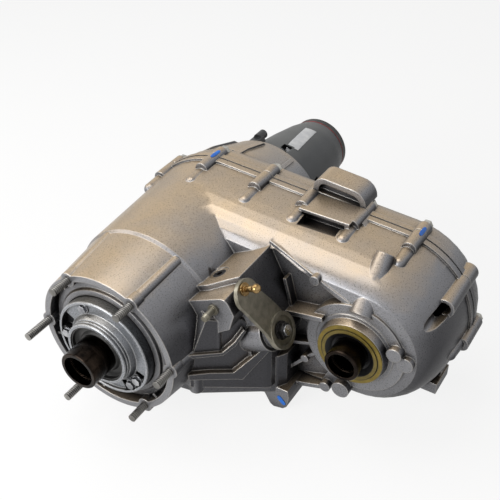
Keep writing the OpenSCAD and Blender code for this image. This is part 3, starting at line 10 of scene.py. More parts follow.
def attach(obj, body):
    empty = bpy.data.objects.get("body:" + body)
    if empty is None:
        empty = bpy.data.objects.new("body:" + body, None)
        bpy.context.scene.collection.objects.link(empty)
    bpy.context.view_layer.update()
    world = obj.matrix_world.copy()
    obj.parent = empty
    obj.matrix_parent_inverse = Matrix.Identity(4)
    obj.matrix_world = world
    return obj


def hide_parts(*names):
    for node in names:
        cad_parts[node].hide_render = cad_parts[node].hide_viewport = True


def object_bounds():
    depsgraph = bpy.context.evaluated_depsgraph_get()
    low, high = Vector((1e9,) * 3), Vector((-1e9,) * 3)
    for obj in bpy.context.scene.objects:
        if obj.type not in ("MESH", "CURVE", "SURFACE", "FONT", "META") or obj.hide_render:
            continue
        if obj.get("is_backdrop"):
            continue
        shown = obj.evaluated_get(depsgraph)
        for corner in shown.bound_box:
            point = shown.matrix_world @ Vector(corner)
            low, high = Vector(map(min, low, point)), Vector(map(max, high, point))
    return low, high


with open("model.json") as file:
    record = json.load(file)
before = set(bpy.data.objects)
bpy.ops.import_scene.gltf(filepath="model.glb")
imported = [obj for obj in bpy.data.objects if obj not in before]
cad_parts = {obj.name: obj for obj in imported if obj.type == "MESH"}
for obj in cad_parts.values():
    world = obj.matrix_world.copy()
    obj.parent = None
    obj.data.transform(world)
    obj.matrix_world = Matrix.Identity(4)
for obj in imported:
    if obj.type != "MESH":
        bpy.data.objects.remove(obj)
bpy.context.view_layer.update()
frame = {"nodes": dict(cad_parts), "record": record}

bl_info = {
    "name": "Transfer case finishes",
    "version": (1, 0, 0),
    "blender": (4, 5, 0),
    "location": "View3D > Sidebar > Transfer case",
    "description": "Finishes, bare strip, paint marks and studio for a chain-drive transfer case",
    "category": "Object",
}

MM = 0.001
OUTPUT_X = 245 * MM  # the front output's axis runs along Y at this X and at Z 0

# Corners of the castings' meshes that are nearer than this are one corner
SAME_CORNER = 0.002 * MM

# The bare strip on top of the tail: its corners in millimetres and the way it faces
STRIP_CORNERS = [(9.5, 401, 66), (0, 474, 56), (17, 476, 52), (26, 403, 61)]
STRIP_OUTWARD = (0.28, 0.15, 0.95)
STRIP_LIFT, STRIP_CUTS = 0.25 * MM, (24, 8)

# The dabs of marking paint: the two ends of each in millimetres, the way it faces and its width
DABS = [
    ((-13.5, 243, 121), (-12.5, 262, 121), (0.35, 0, 0.94), 5),
    ((270, 244, 106.5), (270, 261, 106.5), (0.5, 0, 0.87), 5),
    ((161, 116, -104), (171, 116, -115), (0, -1, 0), 6.5),
]
DAB_LIFT, DAB_CUTS = 0.3 * MM, (14, 6)
PATCH_THICKNESS = 0.2 * MM
DROP_FROM = 12 * MM  # a patch is dropped onto the surface from this far outside

# The camera was fitted to the round rims of the photographed case
CAMERA_PLACE = (0.5093, -0.5177, 0.6817)
CAMERA_RIGHT = (0.853, 0.522, 0.0)
CAMERA_AHEAD = (-0.414, 0.675, -0.610)
LENS_MM, SENSOR_MM = 61.16, 36.0

# The studio, in metres
LAMP_AIM = (0.12, 0.15, 0.0)
FLOOR_CENTRE, FLOOR_REACH, FLOOR_GAP = (0.12, 0.24), 20.0, 0.5 * MM
LEFT_SHARE = 0.3          # the left light's power as a share of the front light's
FLOOR_SEEN_WHITE = 0.85   # how far the floor is plain white to the camera, where 1 hides the shadow
FLOOR_SEEN_GLOSSY = 0.3   # the same in reflections, which keep most of the shadow under the case
WORLD_ON_CASE = 0.18      # strength of the surroundings as light, where they are seen as white at 1


# Nodes and colours

# A Mix node's sockets for colours go by number, because its other kinds of value share their names
COLOURS = {"data_type": "RGBA"}
FACTOR, UNDER, OVER, MIXED = 0, 6, 7, 2

# Noise mostly keeps between 0.3 and 0.7, so a finish stretches some of that to the whole range
ALL_NOISE = {"From Min": 0.3, "From Max": 0.7}
PATCHES = {"From Min": 0.35, "From Max": 0.65}
FEW_PATCHES = {"From Min": 0.4, "From Max": 0.7}


def colour(code):
    """An sRGB hex value as linear red, green and blue with full alpha"""
    parts = [int(code[i:i + 2], 16) / 255 for i in (1, 3, 5)]
    return tuple(p / 12.92 if p <= 0.04045 else ((p + 0.055) / 1.055) ** 2.4 for p in parts) + (1.0,)


def add(tree, kind, settings=None, inputs=None):
    """Adds one node, applies its settings, and fills its inputs with values or with links from sockets"""
    node = tree.nodes.new("ShaderNode" + kind)
    for name, value in (settings or {}).items():
        setattr(node, name, value)
    for name, value in (inputs or {}).items():
        if isinstance(value, bpy.types.NodeSocket):
            tree.links.new(value, node.inputs[name])
        else:
            node.inputs[name].default_value = value
    return node


def new_finish(name):
    """A new material, its empty tree, and the place on the piece in metres"""
    material = bpy.data.materials.new(name)
    material.use_nodes = True
    tree = material.node_tree
    tree.nodes.clear()
    return material, tree, add(tree, "TexCoord").outputs["Object"]


def close_finish(tree, base, metallic, roughness, normal):
    """Ends a material's tree with its shader and output, where the roughness is a number or a pattern"""
    shader = add(tree, "BsdfPrincipled", None,
                 {"Base Color": base, "Metallic": metallic, "Roughness": roughness, "Normal": normal})
    add(tree, "OutputMaterial", None, {"Surface": shader.outputs["BSDF"]})


def rounded_edges(tree, radius):
    """A normal that rounds the edges off, and a mask that is 1 on them"""
    rounded = add(tree, "Bevel", {"samples": 6}, {"Radius": radius}).outputs["Normal"]
    flat = add(tree, "NewGeometry").outputs["Normal"]
    # The product is 1 on a flat face and falls as the rounded normal turns away on an edge
    match = add(tree, "VectorMath", {"operation": "DOT_PRODUCT"}, {0: rounded, 1: flat}).outputs["Value"]
    edge = add(tree, "MapRange", None, {"Value": match, "From Min": 0.99, "From Max": 0.85})
    return rounded, edge.outputs["Result"]


def shade_corners(tree, base, openness, shade_colour, shut, clear, most=1.0):
    """The base colour with painted shade mixed in: up to most of it in shut corners, and none in the clear"""
    share = add(tree, "MapRange", None, {"Value": openness, "From Min": shut, "From Max": clear,
                                         "To Min": most, "To Max": 0.0}).outputs["Result"]
    return add(tree, "Mix", COLOURS, {FACTOR: share, UNDER: base, OVER: shade_colour}).outputs[MIXED]


# Finishes

def cast_metal(name, film, bare, flank_shade, corner_shade, edge_wear_and_highlight, metallic, roughness, grit, edge_gain):
    """Shot-blasted casting: fine grain, a tan tint painted as warm light on the faces that look up, painted
    shade on the flanks and in the corners, and ribs rubbed bright with a painted highlight
    """
    edge_radius, corner_depth, film_patch, grit_height = 2.2 * MM, 24 * MM, 42 * MM, 0.15 * MM
    top_light_by_x, top_light_by_patch, shade_by_x, shade_by_z = -0.35, 0.5, 0.8, -0.5
    material, tree, place = new_finish(name)
    normal, edge = rounded_edges(tree, edge_radius)
    openness = add(tree, "AmbientOcclusion", {"samples": 8}, {"Distance": corner_depth}).outputs["AO"]
    # The grit is drawn about twice as coarse as real blasting, so that it shows in a small picture
    grain = add(tree, "TexNoise", None, {"Vector": place, "Scale": 1 / grit, "Detail": 2.0}).outputs["Fac"]
    flow = add(tree, "TexNoise", None,
               {"Vector": place, "Scale": 1 / film_patch, "Detail": 3.0}).outputs["Fac"]
    facing = add(tree, "SeparateXYZ", None, {"Vector": add(tree, "NewGeometry").outputs["Normal"]})
    # Painted light: faces that look up get the tan tint as painted warm light from above, and faces on the
    # side away from the front output get a little more of it, as painted light from that side
    lean = add(tree, "Math", {"operation": "MULTIPLY_ADD"},
               {0: facing.outputs["X"], 1: top_light_by_x, 2: facing.outputs["Z"]})
    drift = add(tree, "Math", {"operation": "MULTIPLY_ADD"},
                {0: flow, 1: top_light_by_patch, 2: -0.5 * top_light_by_patch})
    painted_top_light = add(tree, "Math", {"operation": "ADD"}, {0: lean.outputs[0], 1: drift.outputs[0]})
    painted_top_light = add(tree, "MapRange", None, {"Value": painted_top_light.outputs[0], "From Min": 0.55, "From Max": 1.1})
    base = add(tree, "Mix", COLOURS,
               {FACTOR: painted_top_light.outputs["Result"], UNDER: bare, OVER: film}).outputs[MIXED]
    # Painted shade: the faces that look down or towards the front output's side, away from the light, are
    # darkened
    flank_shade_mask = add(tree, "Math", {"operation": "MULTIPLY"}, {0: facing.outputs["Z"], 1: shade_by_z})
    flank_shade_mask = add(tree, "Math", {"operation": "MULTIPLY_ADD"},
                {0: facing.outputs["X"], 1: shade_by_x, 2: flank_shade_mask.outputs[0]})
    flank_shade_mask = add(tree, "MapRange", None, {"Value": flank_shade_mask.outputs[0], "From Min": 0.05, "From Max": 0.65})
    base = add(tree, "Mix", COLOURS,
               {FACTOR: flank_shade_mask.outputs["Result"], UNDER: base, OVER: flank_shade}).outputs[MIXED]
    speck = add(tree, "MapRange", None, {"Value": grain, "From Min": 0.32, "From Max": 0.68,
                                         "To Min": 0.85, "To Max": 1.15}).outputs["Result"]
    base = add(tree, "VectorMath", {"operation": "SCALE"}, {0: base, "Scale": speck}).outputs[0]
    # Painted shade: shut corners are darkened towards the corner colour
    base = shade_corners(tree, base, openness, corner_shade, shut=0.3, clear=0.85)
    # Ribs that stand clear are rubbed brighter than edges in a corner, and their bright edge is partly wear
    # and partly a painted highlight
    worn = add(tree, "Math", {"operation": "MULTIPLY"}, {0: edge, 1: openness})
    worn = add(tree, "Math", {"operation": "MULTIPLY"}, {0: worn.outputs[0], 1: edge_gain})
    base = add(tree, "Mix", COLOURS, {FACTOR: worn.outputs[0], UNDER: base, OVER: edge_wear_and_highlight}).outputs[MIXED]
    dull = add(tree, "MapRange", None, {"Value": grain, **ALL_NOISE,
                                        "To Min": roughness - 0.1, "To Max": roughness + 0.1})
    bump = add(tree, "Bump", None,
               {"Height": grain, "Strength": 0.35, "Distance": grit_height, "Normal": normal})
    close_finish(tree, base, metallic, dull.outputs["Result"], bump.outputs["Normal"])
    return material


def turned_metal(name, light, dark, roughness, groove):
    """Machined steel: fine turning marks round the Y axis, with an uneven film of oil or heat colour"""
    edge_radius, corner_depth, stain_patch, groove_height = 0.6 * MM, 12 * MM, 14 * MM, 0.05 * MM
    material, tree, place = new_finish(name)
    normal, edge = rounded_edges(tree, edge_radius)
    openness = add(tree, "AmbientOcclusion", {"samples": 8}, {"Distance": corner_depth}).outputs["AO"]
    # The noise hardly changes across X and Z, so it lies in rings round Y. Real turning marks are several
    # times as fine, and are drawn as coarse as they need to be to show
    stretch = add(tree, "Mapping", None, {"Vector": place, "Scale": (0.06, 1.0, 0.06)}).outputs["Vector"]
    marks = add(tree, "TexNoise", None,
                {"Vector": stretch, "Scale": 1 / groove, "Detail": 2.0}).outputs["Fac"]
    stain = add(tree, "TexNoise", None, {"Vector": place, "Scale": 1 / stain_patch, "Detail": 3.0})
    film = add(tree, "MapRange", None, {"Value": stain.outputs["Fac"], **PATCHES}).outputs["Result"]
    base = add(tree, "Mix", COLOURS, {FACTOR: film, UNDER: light, OVER: dark}).outputs[MIXED]
    # Painted shade: shut corners are darkened towards the dark colour
    base = shade_corners(tree, base, openness, dark, shut=0.2, clear=0.8, most=0.7)
    # Painted highlight: edges are mixed towards the light colour
    base = add(tree, "Mix", COLOURS, {FACTOR: edge, UNDER: base, OVER: light}).outputs[MIXED]
    rough = add(tree, "MapRange", None, {"Value": marks, **ALL_NOISE,
                                         "To Min": roughness - 0.06, "To Max": roughness + 0.1})
    bump = add(tree, "Bump", None,
               {"Height": marks, "Strength": 0.3, "Distance": groove_height, "Normal": normal})
    close_finish(tree, base, 1.0, rough.outputs["Result"], bump.outputs["Normal"])
    return material


def plated_metal(name, light, dark, roughness, metallic=1.0):
    """Plated steel: an even satin film whose tint drifts in patches, with painted shade in the corners, worn
    bright on the edges and with a painted highlight there
    """
    edge_radius, corner_depth, tint_patch, satin_grain, satin_height = (
        0.5 * MM, 10 * MM, 9 * MM, 0.8 * MM, 0.04 * MM)
    material, tree, place = new_finish(name)
    normal, edge = rounded_edges(tree, edge_radius)
    openness = add(tree, "AmbientOcclusion", {"samples": 8}, {"Distance": corner_depth}).outputs["AO"]
    drift = add(tree, "TexNoise", None,
                {"Vector": place, "Scale": 1 / tint_patch, "Detail": 4.0}).outputs["Fac"]
    tint = add(tree, "MapRange", None, {"Value": drift, **PATCHES}).outputs["Result"]
    base = add(tree, "Mix", COLOURS, {FACTOR: tint, UNDER: light, OVER: dark}).outputs[MIXED]
    # Painted shade: shut corners are darkened towards the dark colour
    base = shade_corners(tree, base, openness, dark, shut=0.2, clear=0.75, most=0.8)
    # Edges are mixed towards the light colour, partly wear and partly a painted highlight
    base = add(tree, "Mix", COLOURS, {FACTOR: edge, UNDER: base, OVER: light}).outputs[MIXED]
    # Crystals of plating are far too fine to show, so their grain is drawn coarse
    satin = add(tree, "TexNoise", None, {"Vector": place, "Scale": 1 / satin_grain, "Detail": 2.0})
    rough = add(tree, "MapRange", None, {"Value": drift, **ALL_NOISE,
                                         "To Min": roughness - 0.08, "To Max": roughness + 0.08})
    bump = add(tree, "Bump", None, {"Height": satin.outputs["Fac"], "Strength": 0.2,
                                    "Distance": satin_height, "Normal": normal})
    close_finish(tree, base, metallic, rough.outputs["Result"], bump.outputs["Normal"])
    return material


def threaded_steel(name, light, dark, roughness, pitch):
    """Zinc-plated studs: a rolled thread along Y, drawn as coarse as the picture can show"""
    stain_patch, thread_height = 6 * MM, 0.5 * MM
    material, tree, place = new_finish(name)
    split = add(tree, "SeparateXYZ", None, {"Vector": place})
    turns = add(tree, "Math", {"operation": "MULTIPLY"}, {0: split.outputs["Y"], 1: 2 * math.pi / pitch})
    wave = add(tree, "Math", {"operation": "SINE"}, {0: turns.outputs[0]})
    crest = add(tree, "MapRange", None,
                {"Value": wave.outputs[0], "From Min": -1.0, "From Max": 1.0}).outputs["Result"]
    stain = add(tree, "TexNoise", None, {"Vector": place, "Scale": 1 / stain_patch, "Detail": 3.0})
    # Painted shade and highlight: the thread's valleys are drawn in the dark colour and its crests in the
    # light one
    base = add(tree, "Mix", COLOURS, {FACTOR: crest, UNDER: dark, OVER: light}).outputs[MIXED]
    film = add(tree, "MapRange", None, {"Value": stain.outputs["Fac"], **FEW_PATCHES,
                                        "To Min": 0.0, "To Max": 0.6}).outputs["Result"]
    base = add(tree, "Mix", COLOURS, {FACTOR: film, UNDER: base, OVER: dark}).outputs[MIXED]
    bump = add(tree, "Bump", None, {"Height": crest, "Strength": 0.8, "Distance": thread_height})
    close_finish(tree, base, 1.0, roughness, bump.outputs["Normal"])
    return material


def moulded(name, light, dark, roughness, grain):
    """Rubber, plastic, paper, paint or cured sealant: a matt skin with a soft grain and dusty patches"""
    edge_radius, dust_patch, grain_height = 0.6 * MM, 12 * MM, 0.08 * MM
    material, tree, place = new_finish(name)
    normal, edge = rounded_edges(tree, edge_radius)
    # The grain of a moulded skin is finer, and is drawn as coarse as it needs to be to show
    skin = add(tree, "TexNoise", None, {"Vector": place, "Scale": 1 / grain, "Detail": 3.0}).outputs["Fac"]
    dust = add(tree, "TexNoise", None, {"Vector": place, "Scale": 1 / dust_patch, "Detail": 4.0})
    patch = add(tree, "MapRange", None, {"Value": dust.outputs["Fac"], **FEW_PATCHES}).outputs["Result"]
    base = add(tree, "Mix", COLOURS, {FACTOR: patch, UNDER: dark, OVER: light}).outputs[MIXED]
    # Painted highlight: edges are mixed towards the light colour
    base = add(tree, "Mix", COLOURS, {FACTOR: edge, UNDER: base, OVER: light}).outputs[MIXED]
    rough = add(tree, "MapRange", None, {"Value": skin, **ALL_NOISE,
                                         "To Min": roughness - 0.08, "To Max": roughness + 0.08})
    bump = add(tree, "Bump", None,
               {"Height": skin, "Strength": 0.4, "Distance": grain_height, "Normal": normal})
    close_finish(tree, base, 0.0, rough.outputs["Result"], bump.outputs["Normal"])
    return material


def ringed_seal(name, plating, shadow, inside, ring_from, ring_to, groove_at, groove_width):
    """A seal's plated case seen as a ring, a dark groove in it, and the sooty rubber and metal inside"""
    edge_radius, stain_patch, satin_grain, satin_height = 0.5 * MM, 7 * MM, 0.8 * MM, 0.05 * MM
    material, tree, place = new_finish(name)
    normal, edge = rounded_edges(tree, edge_radius)
    centred = add(tree, "Mapping", None,
                  {"Vector": place, "Location": (-OUTPUT_X, 0.0, 0.0), "Scale": (1.0, 0.0, 1.0)})
    reach = add(tree, "VectorMath", {"operation": "LENGTH"}, {0: centred.outputs["Vector"]}).outputs["Value"]
    ring = add(tree, "MapRange", None, {"Value": reach, "From Min": ring_from, "From Max": ring_to})
    stain = add(tree, "TexNoise", None, {"Vector": place, "Scale": 1 / stain_patch, "Detail": 4.0})
    film = add(tree, "MapRange", None, {"Value": stain.outputs["Fac"], "From Min": 0.35, "From Max": 0.7,
                                        "To Min": 0.0, "To Max": 0.5}).outputs["Result"]
    plated = add(tree, "Mix", COLOURS, {FACTOR: film, UNDER: plating, OVER: shadow}).outputs[MIXED]
    base = add(tree, "Mix", COLOURS,
               {FACTOR: ring.outputs["Result"], UNDER: inside, OVER: plated}).outputs[MIXED]
    away = add(tree, "Math", {"operation": "SUBTRACT"}, {0: reach, 1: groove_at})
    away = add(tree, "Math", {"operation": "ABSOLUTE"}, {0: away.outputs[0]}).outputs[0]
    groove = add(tree, "MapRange", None,
                 {"Value": away, "From Min": groove_width, "From Max": 0.5 * groove_width})
    base = add(tree, "Mix", COLOURS,
               {FACTOR: groove.outputs["Result"], UNDER: base, OVER: inside}).outputs[MIXED]
    # Painted highlight: edges are mixed towards the plating colour
    base = add(tree, "Mix", COLOURS, {FACTOR: edge, UNDER: base, OVER: plating}).outputs[MIXED]
    satin = add(tree, "TexNoise", None, {"Vector": place, "Scale": 1 / satin_grain, "Detail": 2.0})
    bump = add(tree, "Bump", None, {"Height": satin.outputs["Fac"], "Strength": 0.3,
                                    "Distance": satin_height, "Normal": normal})
    close_finish(tree, base, 0.35, 0.4, bump.outputs["Normal"])
    return material


def dress(material, *nodes):
    """Gives the material to every slot of the named CAD nodes"""
    for name in nodes:
        node = frame["nodes"][name]
        if not node.material_slots:
            node.data.materials.append(material)
        for slot in node.material_slots:
            slot.material = material


def dress_slots(finishes):
    """Gives its finish to each CAD node whose material slot in the record has one here"""
    for part in frame["record"]["subparts"]:
        if part["material_slot"] in finishes:
            dress(finishes[part["material_slot"]], part["node"])


# Shapes

def merged(node_name):
    """A copy of a CAD node's mesh whose loose triangles share their corners"""
    mesh = bmesh.new()
    mesh.from_mesh(frame["nodes"][node_name].data)
    bmesh.ops.remove_doubles(mesh, verts=mesh.verts, dist=SAME_CORNER)
    bmesh.ops.dissolve_degenerate(mesh, edges=mesh.edges, dist=SAME_CORNER)
    return mesh


def smooth_skin(node_name, material, sharp_angle):
    """A smoothly shaded skin in place of a CAD casting, so that its blended shoulders show no facets"""
    mesh = merged(node_name)
    for face in mesh.faces:
        face.smooth = True
    for edge in mesh.edges:
        edge.smooth = len(edge.link_faces) == 2 and edge.calc_face_angle(0.0) < sharp_angle
    data = bpy.data.meshes.new(node_name + "_skin")
    mesh.to_mesh(data)
    mesh.free()
    data.materials.append(material)
    skin = bpy.data.objects.new(node_name + "_skin", data)
    bpy.context.scene.collection.objects.link(skin)
    weighting = skin.modifiers.new("even shading", "WEIGHTED_NORMAL")
    weighting.keep_sharp = True
    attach(skin, "case")
    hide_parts(node_name)


def surface_of(*node_names):
    """A search tree over the surfaces of CAD nodes"""
    mesh = bmesh.new()
    for name in node_names:
        mesh.from_mesh(frame["nodes"][name].data)
    tree = BVHTree.FromBMesh(mesh)
    mesh.free()
    return tree


def laid_patch(name, corners, outward, node_names, lift, cuts, material, round_ends=False):
    """A thin patch between four corners in millimetres, dropped square onto the surface under it"""
    tree = surface_of(*node_names)
    mesh = bmesh.new()
    bmesh.ops.create_grid(mesh, x_segments=cuts[0], y_segments=cuts[1], size=0.5)
    a, b, c, d = [Vector(corner) * MM for corner in corners]
    outward = Vector(outward).normalized()
    for vert in mesh.verts:
        along, across = vert.co.x + 0.5, vert.co.y + 0.5
        if round_ends:
            # The width follows a squarish arch along the patch and keeps some of itself at the ends
            across = 0.5 + (across - 0.5) * math.sqrt(max(0.2, 1 - (2 * along - 1) ** 4))
        place = a.lerp(b, along).lerp(d.lerp(c, along), across)
        found = tree.ray_cast(place + outward * DROP_FROM, -outward)[0] or tree.find_nearest(place)[0]
        vert.co = found + outward * (lift + PATCH_THICKNESS)
    bmesh.ops.recalc_face_normals(mesh, faces=mesh.faces)
    mesh.faces.ensure_lookup_table()
    if mesh.faces[len(mesh.faces) // 2].normal.dot(outward) < 0:
        bmesh.ops.reverse_faces(mesh, faces=mesh.faces)
    bmesh.ops.solidify(mesh, geom=list(mesh.verts) + list(mesh.edges) + list(mesh.faces),
                       thickness=PATCH_THICKNESS)
    bmesh.ops.recalc_face_normals(mesh, faces=mesh.faces)
    for face in mesh.faces:
        face.smooth = False
    data = bpy.data.meshes.new(name)
    mesh.to_mesh(data)
    mesh.free()
    data.materials.append(material)
    patch = bpy.data.objects.new(name, data)
    bpy.context.scene.collection.objects.link(patch)
    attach(patch, "case")


# Settings

class CastingSettings(bpy.types.PropertyGroup):
    # Painted light: the film colour is warm light painted on the faces of a casting that look up
    film: bpy.props.FloatVectorProperty(
        name="Lit top", description="Colour of the warm light painted on faces that look up",
        subtype="COLOR", size=4, min=0.0, max=1.0, default=colour("#AA967B"))
    bare: bpy.props.FloatVectorProperty(
        name="Bare metal", description="Colour of the sides, outside the painted top light",
        subtype="COLOR", size=4, min=0.0, max=1.0, default=colour("#7E7E81"))
    # Painted shade: this colour darkens the flanks that look down or towards the front output's side
    flank_shade: bpy.props.FloatVectorProperty(
        name="Flank shade", description="Colour of the painted shade on the flanks",
        subtype="COLOR", size=4, min=0.0, max=1.0, default=colour("#39393D"))
    # Painted shade: this colour darkens the shut corners of a casting
    corner_shade: bpy.props.FloatVectorProperty(
        name="Corner shade", description="Colour of the painted shade in the corners",
        subtype="COLOR", size=4, min=0.0, max=1.0, default=colour("#232224"))
    # Partly painted highlight: this colour is both the wear and the light caught on the ribs
    edge_wear_and_highlight: bpy.props.FloatVectorProperty(
        name="Rubbed edge and highlight", description="Colour of worn ribs and their painted highlight",
        subtype="COLOR", size=4, min=0.0, max=1.0, default=colour("#D9D4CC"))
    grit: bpy.props.FloatProperty(
        name="Grit", description="Size of the blasted grain",
        subtype="DISTANCE", unit="LENGTH", min=0.1 * MM, default=1.3 * MM)
    sharp: bpy.props.FloatProperty(
        name="Sharp angle", description="Edges under this angle are blended",
        subtype="ANGLE", unit="ROTATION", min=0.0, default=math.radians(26))


class StageSettings(bpy.types.PropertyGroup):
    key_power: bpy.props.FloatProperty(
        name="Top light", description="Power of the light above",
        unit="POWER", min=0.0, default=11.0)
    fill_power: bpy.props.FloatProperty(
        name="Front light", description="Power of the light at the front",
        unit="POWER", min=0.0, default=20.0)
    floor: bpy.props.FloatVectorProperty(
        name="Floor", description="Colour of the floor",
        subtype="COLOR", size=4, min=0.0, max=1.0, default=colour("#F4F3F1"))


# Operators

class TRANSFER_OT_castings(bpy.types.Operator):
    """Gives the split housing and the tail their blasted and coated cast skins"""
    bl_idname = "transfer.castings"
    bl_label = "Castings"

    def execute(self, context):
        s = context.scene.transfer_casting
        # Each casting gets a top colour that is painted warm light, flank and corner colours that are painted
        # shade, and an edge colour that is wear with a painted highlight
        bright = cast_metal("shot_blasted_cast_aluminium", film=s.film, bare=s.bare, flank_shade=s.flank_shade,
                            corner_shade=s.corner_shade, edge_wear_and_highlight=s.edge_wear_and_highlight, metallic=0.65, roughness=0.34, grit=s.grit, edge_gain=0.5)
        inner = cast_metal("bare_cast_aluminium", film=colour("#A09A90"), bare=colour("#84878C"),
                           flank_shade=colour("#5C5E62"), corner_shade=colour("#242426"), edge_wear_and_highlight=colour("#DDDDDD"),
                           metallic=0.65, roughness=0.32, grit=s.grit, edge_gain=0.7)
        coated = cast_metal("dark_coated_casting", film=colour("#5A5B5A"), bare=colour("#3C3E40"),
                            flank_shade=colour("#323436"), corner_shade=colour("#191A1B"), edge_wear_and_highlight=colour("#6E7072"),
                            metallic=0.3, roughness=0.45, grit=s.grit, edge_gain=0.4)
        smooth_skin("front_case", bright, s.sharp)
        smooth_skin("rear_case", bright, s.sharp)
        smooth_skin("tail_housing", coated, s.sharp)
        dress(bright, "front_case", "rear_case")
        dress(coated, "tail_housing")
        dress(inner, "bearing_retainer", "oil_pump", "range_fork", "mode_fork")
        return {"FINISHED"}


class TRANSFER_OT_shafts(bpy.types.Operator):
    """Finishes the shafts, gears, bearings and chain"""
    bl_idname = "transfer.shafts"
    bl_label = "Shafts and gears"

    def execute(self, context):
        dress_slots({
            "dark_steel": turned_metal("dark_oiled_steel", colour("#2E2620"), colour("#0E0C0B"),
                                       roughness=0.2, groove=1.2 * MM),
            "steel": turned_metal("machined_steel", colour("#B4B5B8"), colour("#7F8084"),
                                  roughness=0.28, groove=0.8 * MM),
            "polished_steel": turned_metal("polished_bearing_steel", colour("#D3D4D6"), colour("#A5A6A8"),
                                           roughness=0.1, groove=2.0 * MM),
            "chain_steel": turned_metal("blued_chain_steel", colour("#6A655E"), colour("#37332F"),
                                        roughness=0.33, groove=1.0 * MM),
            "bronze": turned_metal("bearing_bronze", colour("#B98D4C"), colour("#7C5B2C"),
                                   roughness=0.3, groove=1.0 * MM),
        })
        return {"FINISHED"}


class TRANSFER_OT_fasteners(bpy.types.Operator):
    """Finishes the studs, bolts, nuts, lever and ball stud, and the plated seal and shield of the output"""
    bl_idname = "transfer.fasteners"
    bl_label = "Fasteners and lever"

    def execute(self, context):
        dress_slots({
            "zinc_plate": plated_metal("satin_zinc_plate", colour("#8A8577"), colour("#6C685C"),
                                       roughness=0.4, metallic=0.8),
            "zinc_bolt": plated_metal("zinc_plated_bolt", colour("#B5B3AC"), colour("#7F7D77"),
                                      roughness=0.33),
            "black_nut": plated_metal("black_oxide_nut", colour("#4A4847"), colour("#1D1C1C"),
                                      roughness=0.38, metallic=0.8),
            "yellow_plating": plated_metal("yellow_chromate_plating", colour("#A3934A"), colour("#6E6228"),
                                           roughness=0.35, metallic=0.85),
            "gold_plating": plated_metal("gold_chromate_plating", colour("#BC9F70"), colour("#6E5634"),
                                         roughness=0.18),
        })
        seal = ringed_seal("plated_seal_case", plating=colour("#7A6822"), shadow=colour("#4A3E14"),
                           inside=colour("#16161A"), ring_from=34.8 * MM, ring_to=35.4 * MM,
                           groove_at=35.3 * MM, groove_width=0.9 * MM)
        shield = ringed_seal("plated_dust_shield", plating=colour("#6E5F24"), shadow=colour("#403618"),
                             inside=colour("#141417"), ring_from=30.2 * MM, ring_to=31.0 * MM,
                             groove_at=36.0 * MM, groove_width=0.5 * MM)
        dress(seal, "front_output_seal")
        dress(shield, "dust_shield")
        dress(threaded_steel("rolled_thread_zinc_stud", colour("#9C9A96"), colour("#4E4C49"),
                             roughness=0.34, pitch=2.5 * MM), "mount_studs")
        return {"FINISHED"}


class TRANSFER_OT_seals(bpy.types.Operator):
    """Finishes the seals, the sealant bead and the plastic sensor"""
    bl_idname = "transfer.seals"
    bl_label = "Seals and plastic"

    def execute(self, context):
        dress_slots({
            "black_rubber": moulded("nitrile_seal_rubber", colour("#2E2D2C"), colour("#121211"),
                                    roughness=0.5, grain=0.9 * MM),
            "red_rubber": moulded("red_seal_rubber", colour("#8E2420"), colour("#5A1310"),
                                  roughness=0.45, grain=0.9 * MM),
            "sealant": moulded("cured_black_sealant", colour("#26272B"), colour("#0D0E10"),
                               roughness=0.32, grain=2.5 * MM),
            "black_plastic": moulded("moulded_black_nylon", colour("#2C2D2F"), colour("#161718"),
                                     roughness=0.42, grain=0.7 * MM),
        })
        return {"FINISHED"}


class TRANSFER_OT_marks(bpy.types.Operator):
    """Lays the bare paper strip on the tail and the dabs of marking paint"""
    bl_idname = "transfer.marks"
    bl_label = "Strip and paint marks"

    def execute(self, context):
        paper = moulded("matt_white_paper", colour("#E4E4E4"), colour("#CFD0D2"),
                        roughness=0.6, grain=1.5 * MM)
        laid_patch("paper_strip", STRIP_CORNERS, STRIP_OUTWARD, ["tail_housing"],
                   STRIP_LIFT, STRIP_CUTS, paper)
        paint = moulded("blue_marking_paint", colour("#1F74D8"), colour("#1560BC"),
                        roughness=0.35, grain=1.2 * MM)
        for number, (start, end, outward, width) in enumerate(DABS, 1):
            start, end = Vector(start), Vector(end)
            side = (end - start).cross(Vector(outward)).normalized() * width / 2
            corners = [start - side, end - side, end + side, start + side]
            laid_patch("paint_mark_%d" % number, corners, outward, ["front_case", "rear_case"],
                       DAB_LIFT, DAB_CUTS, paint, round_ends=True)
        return {"FINISHED"}


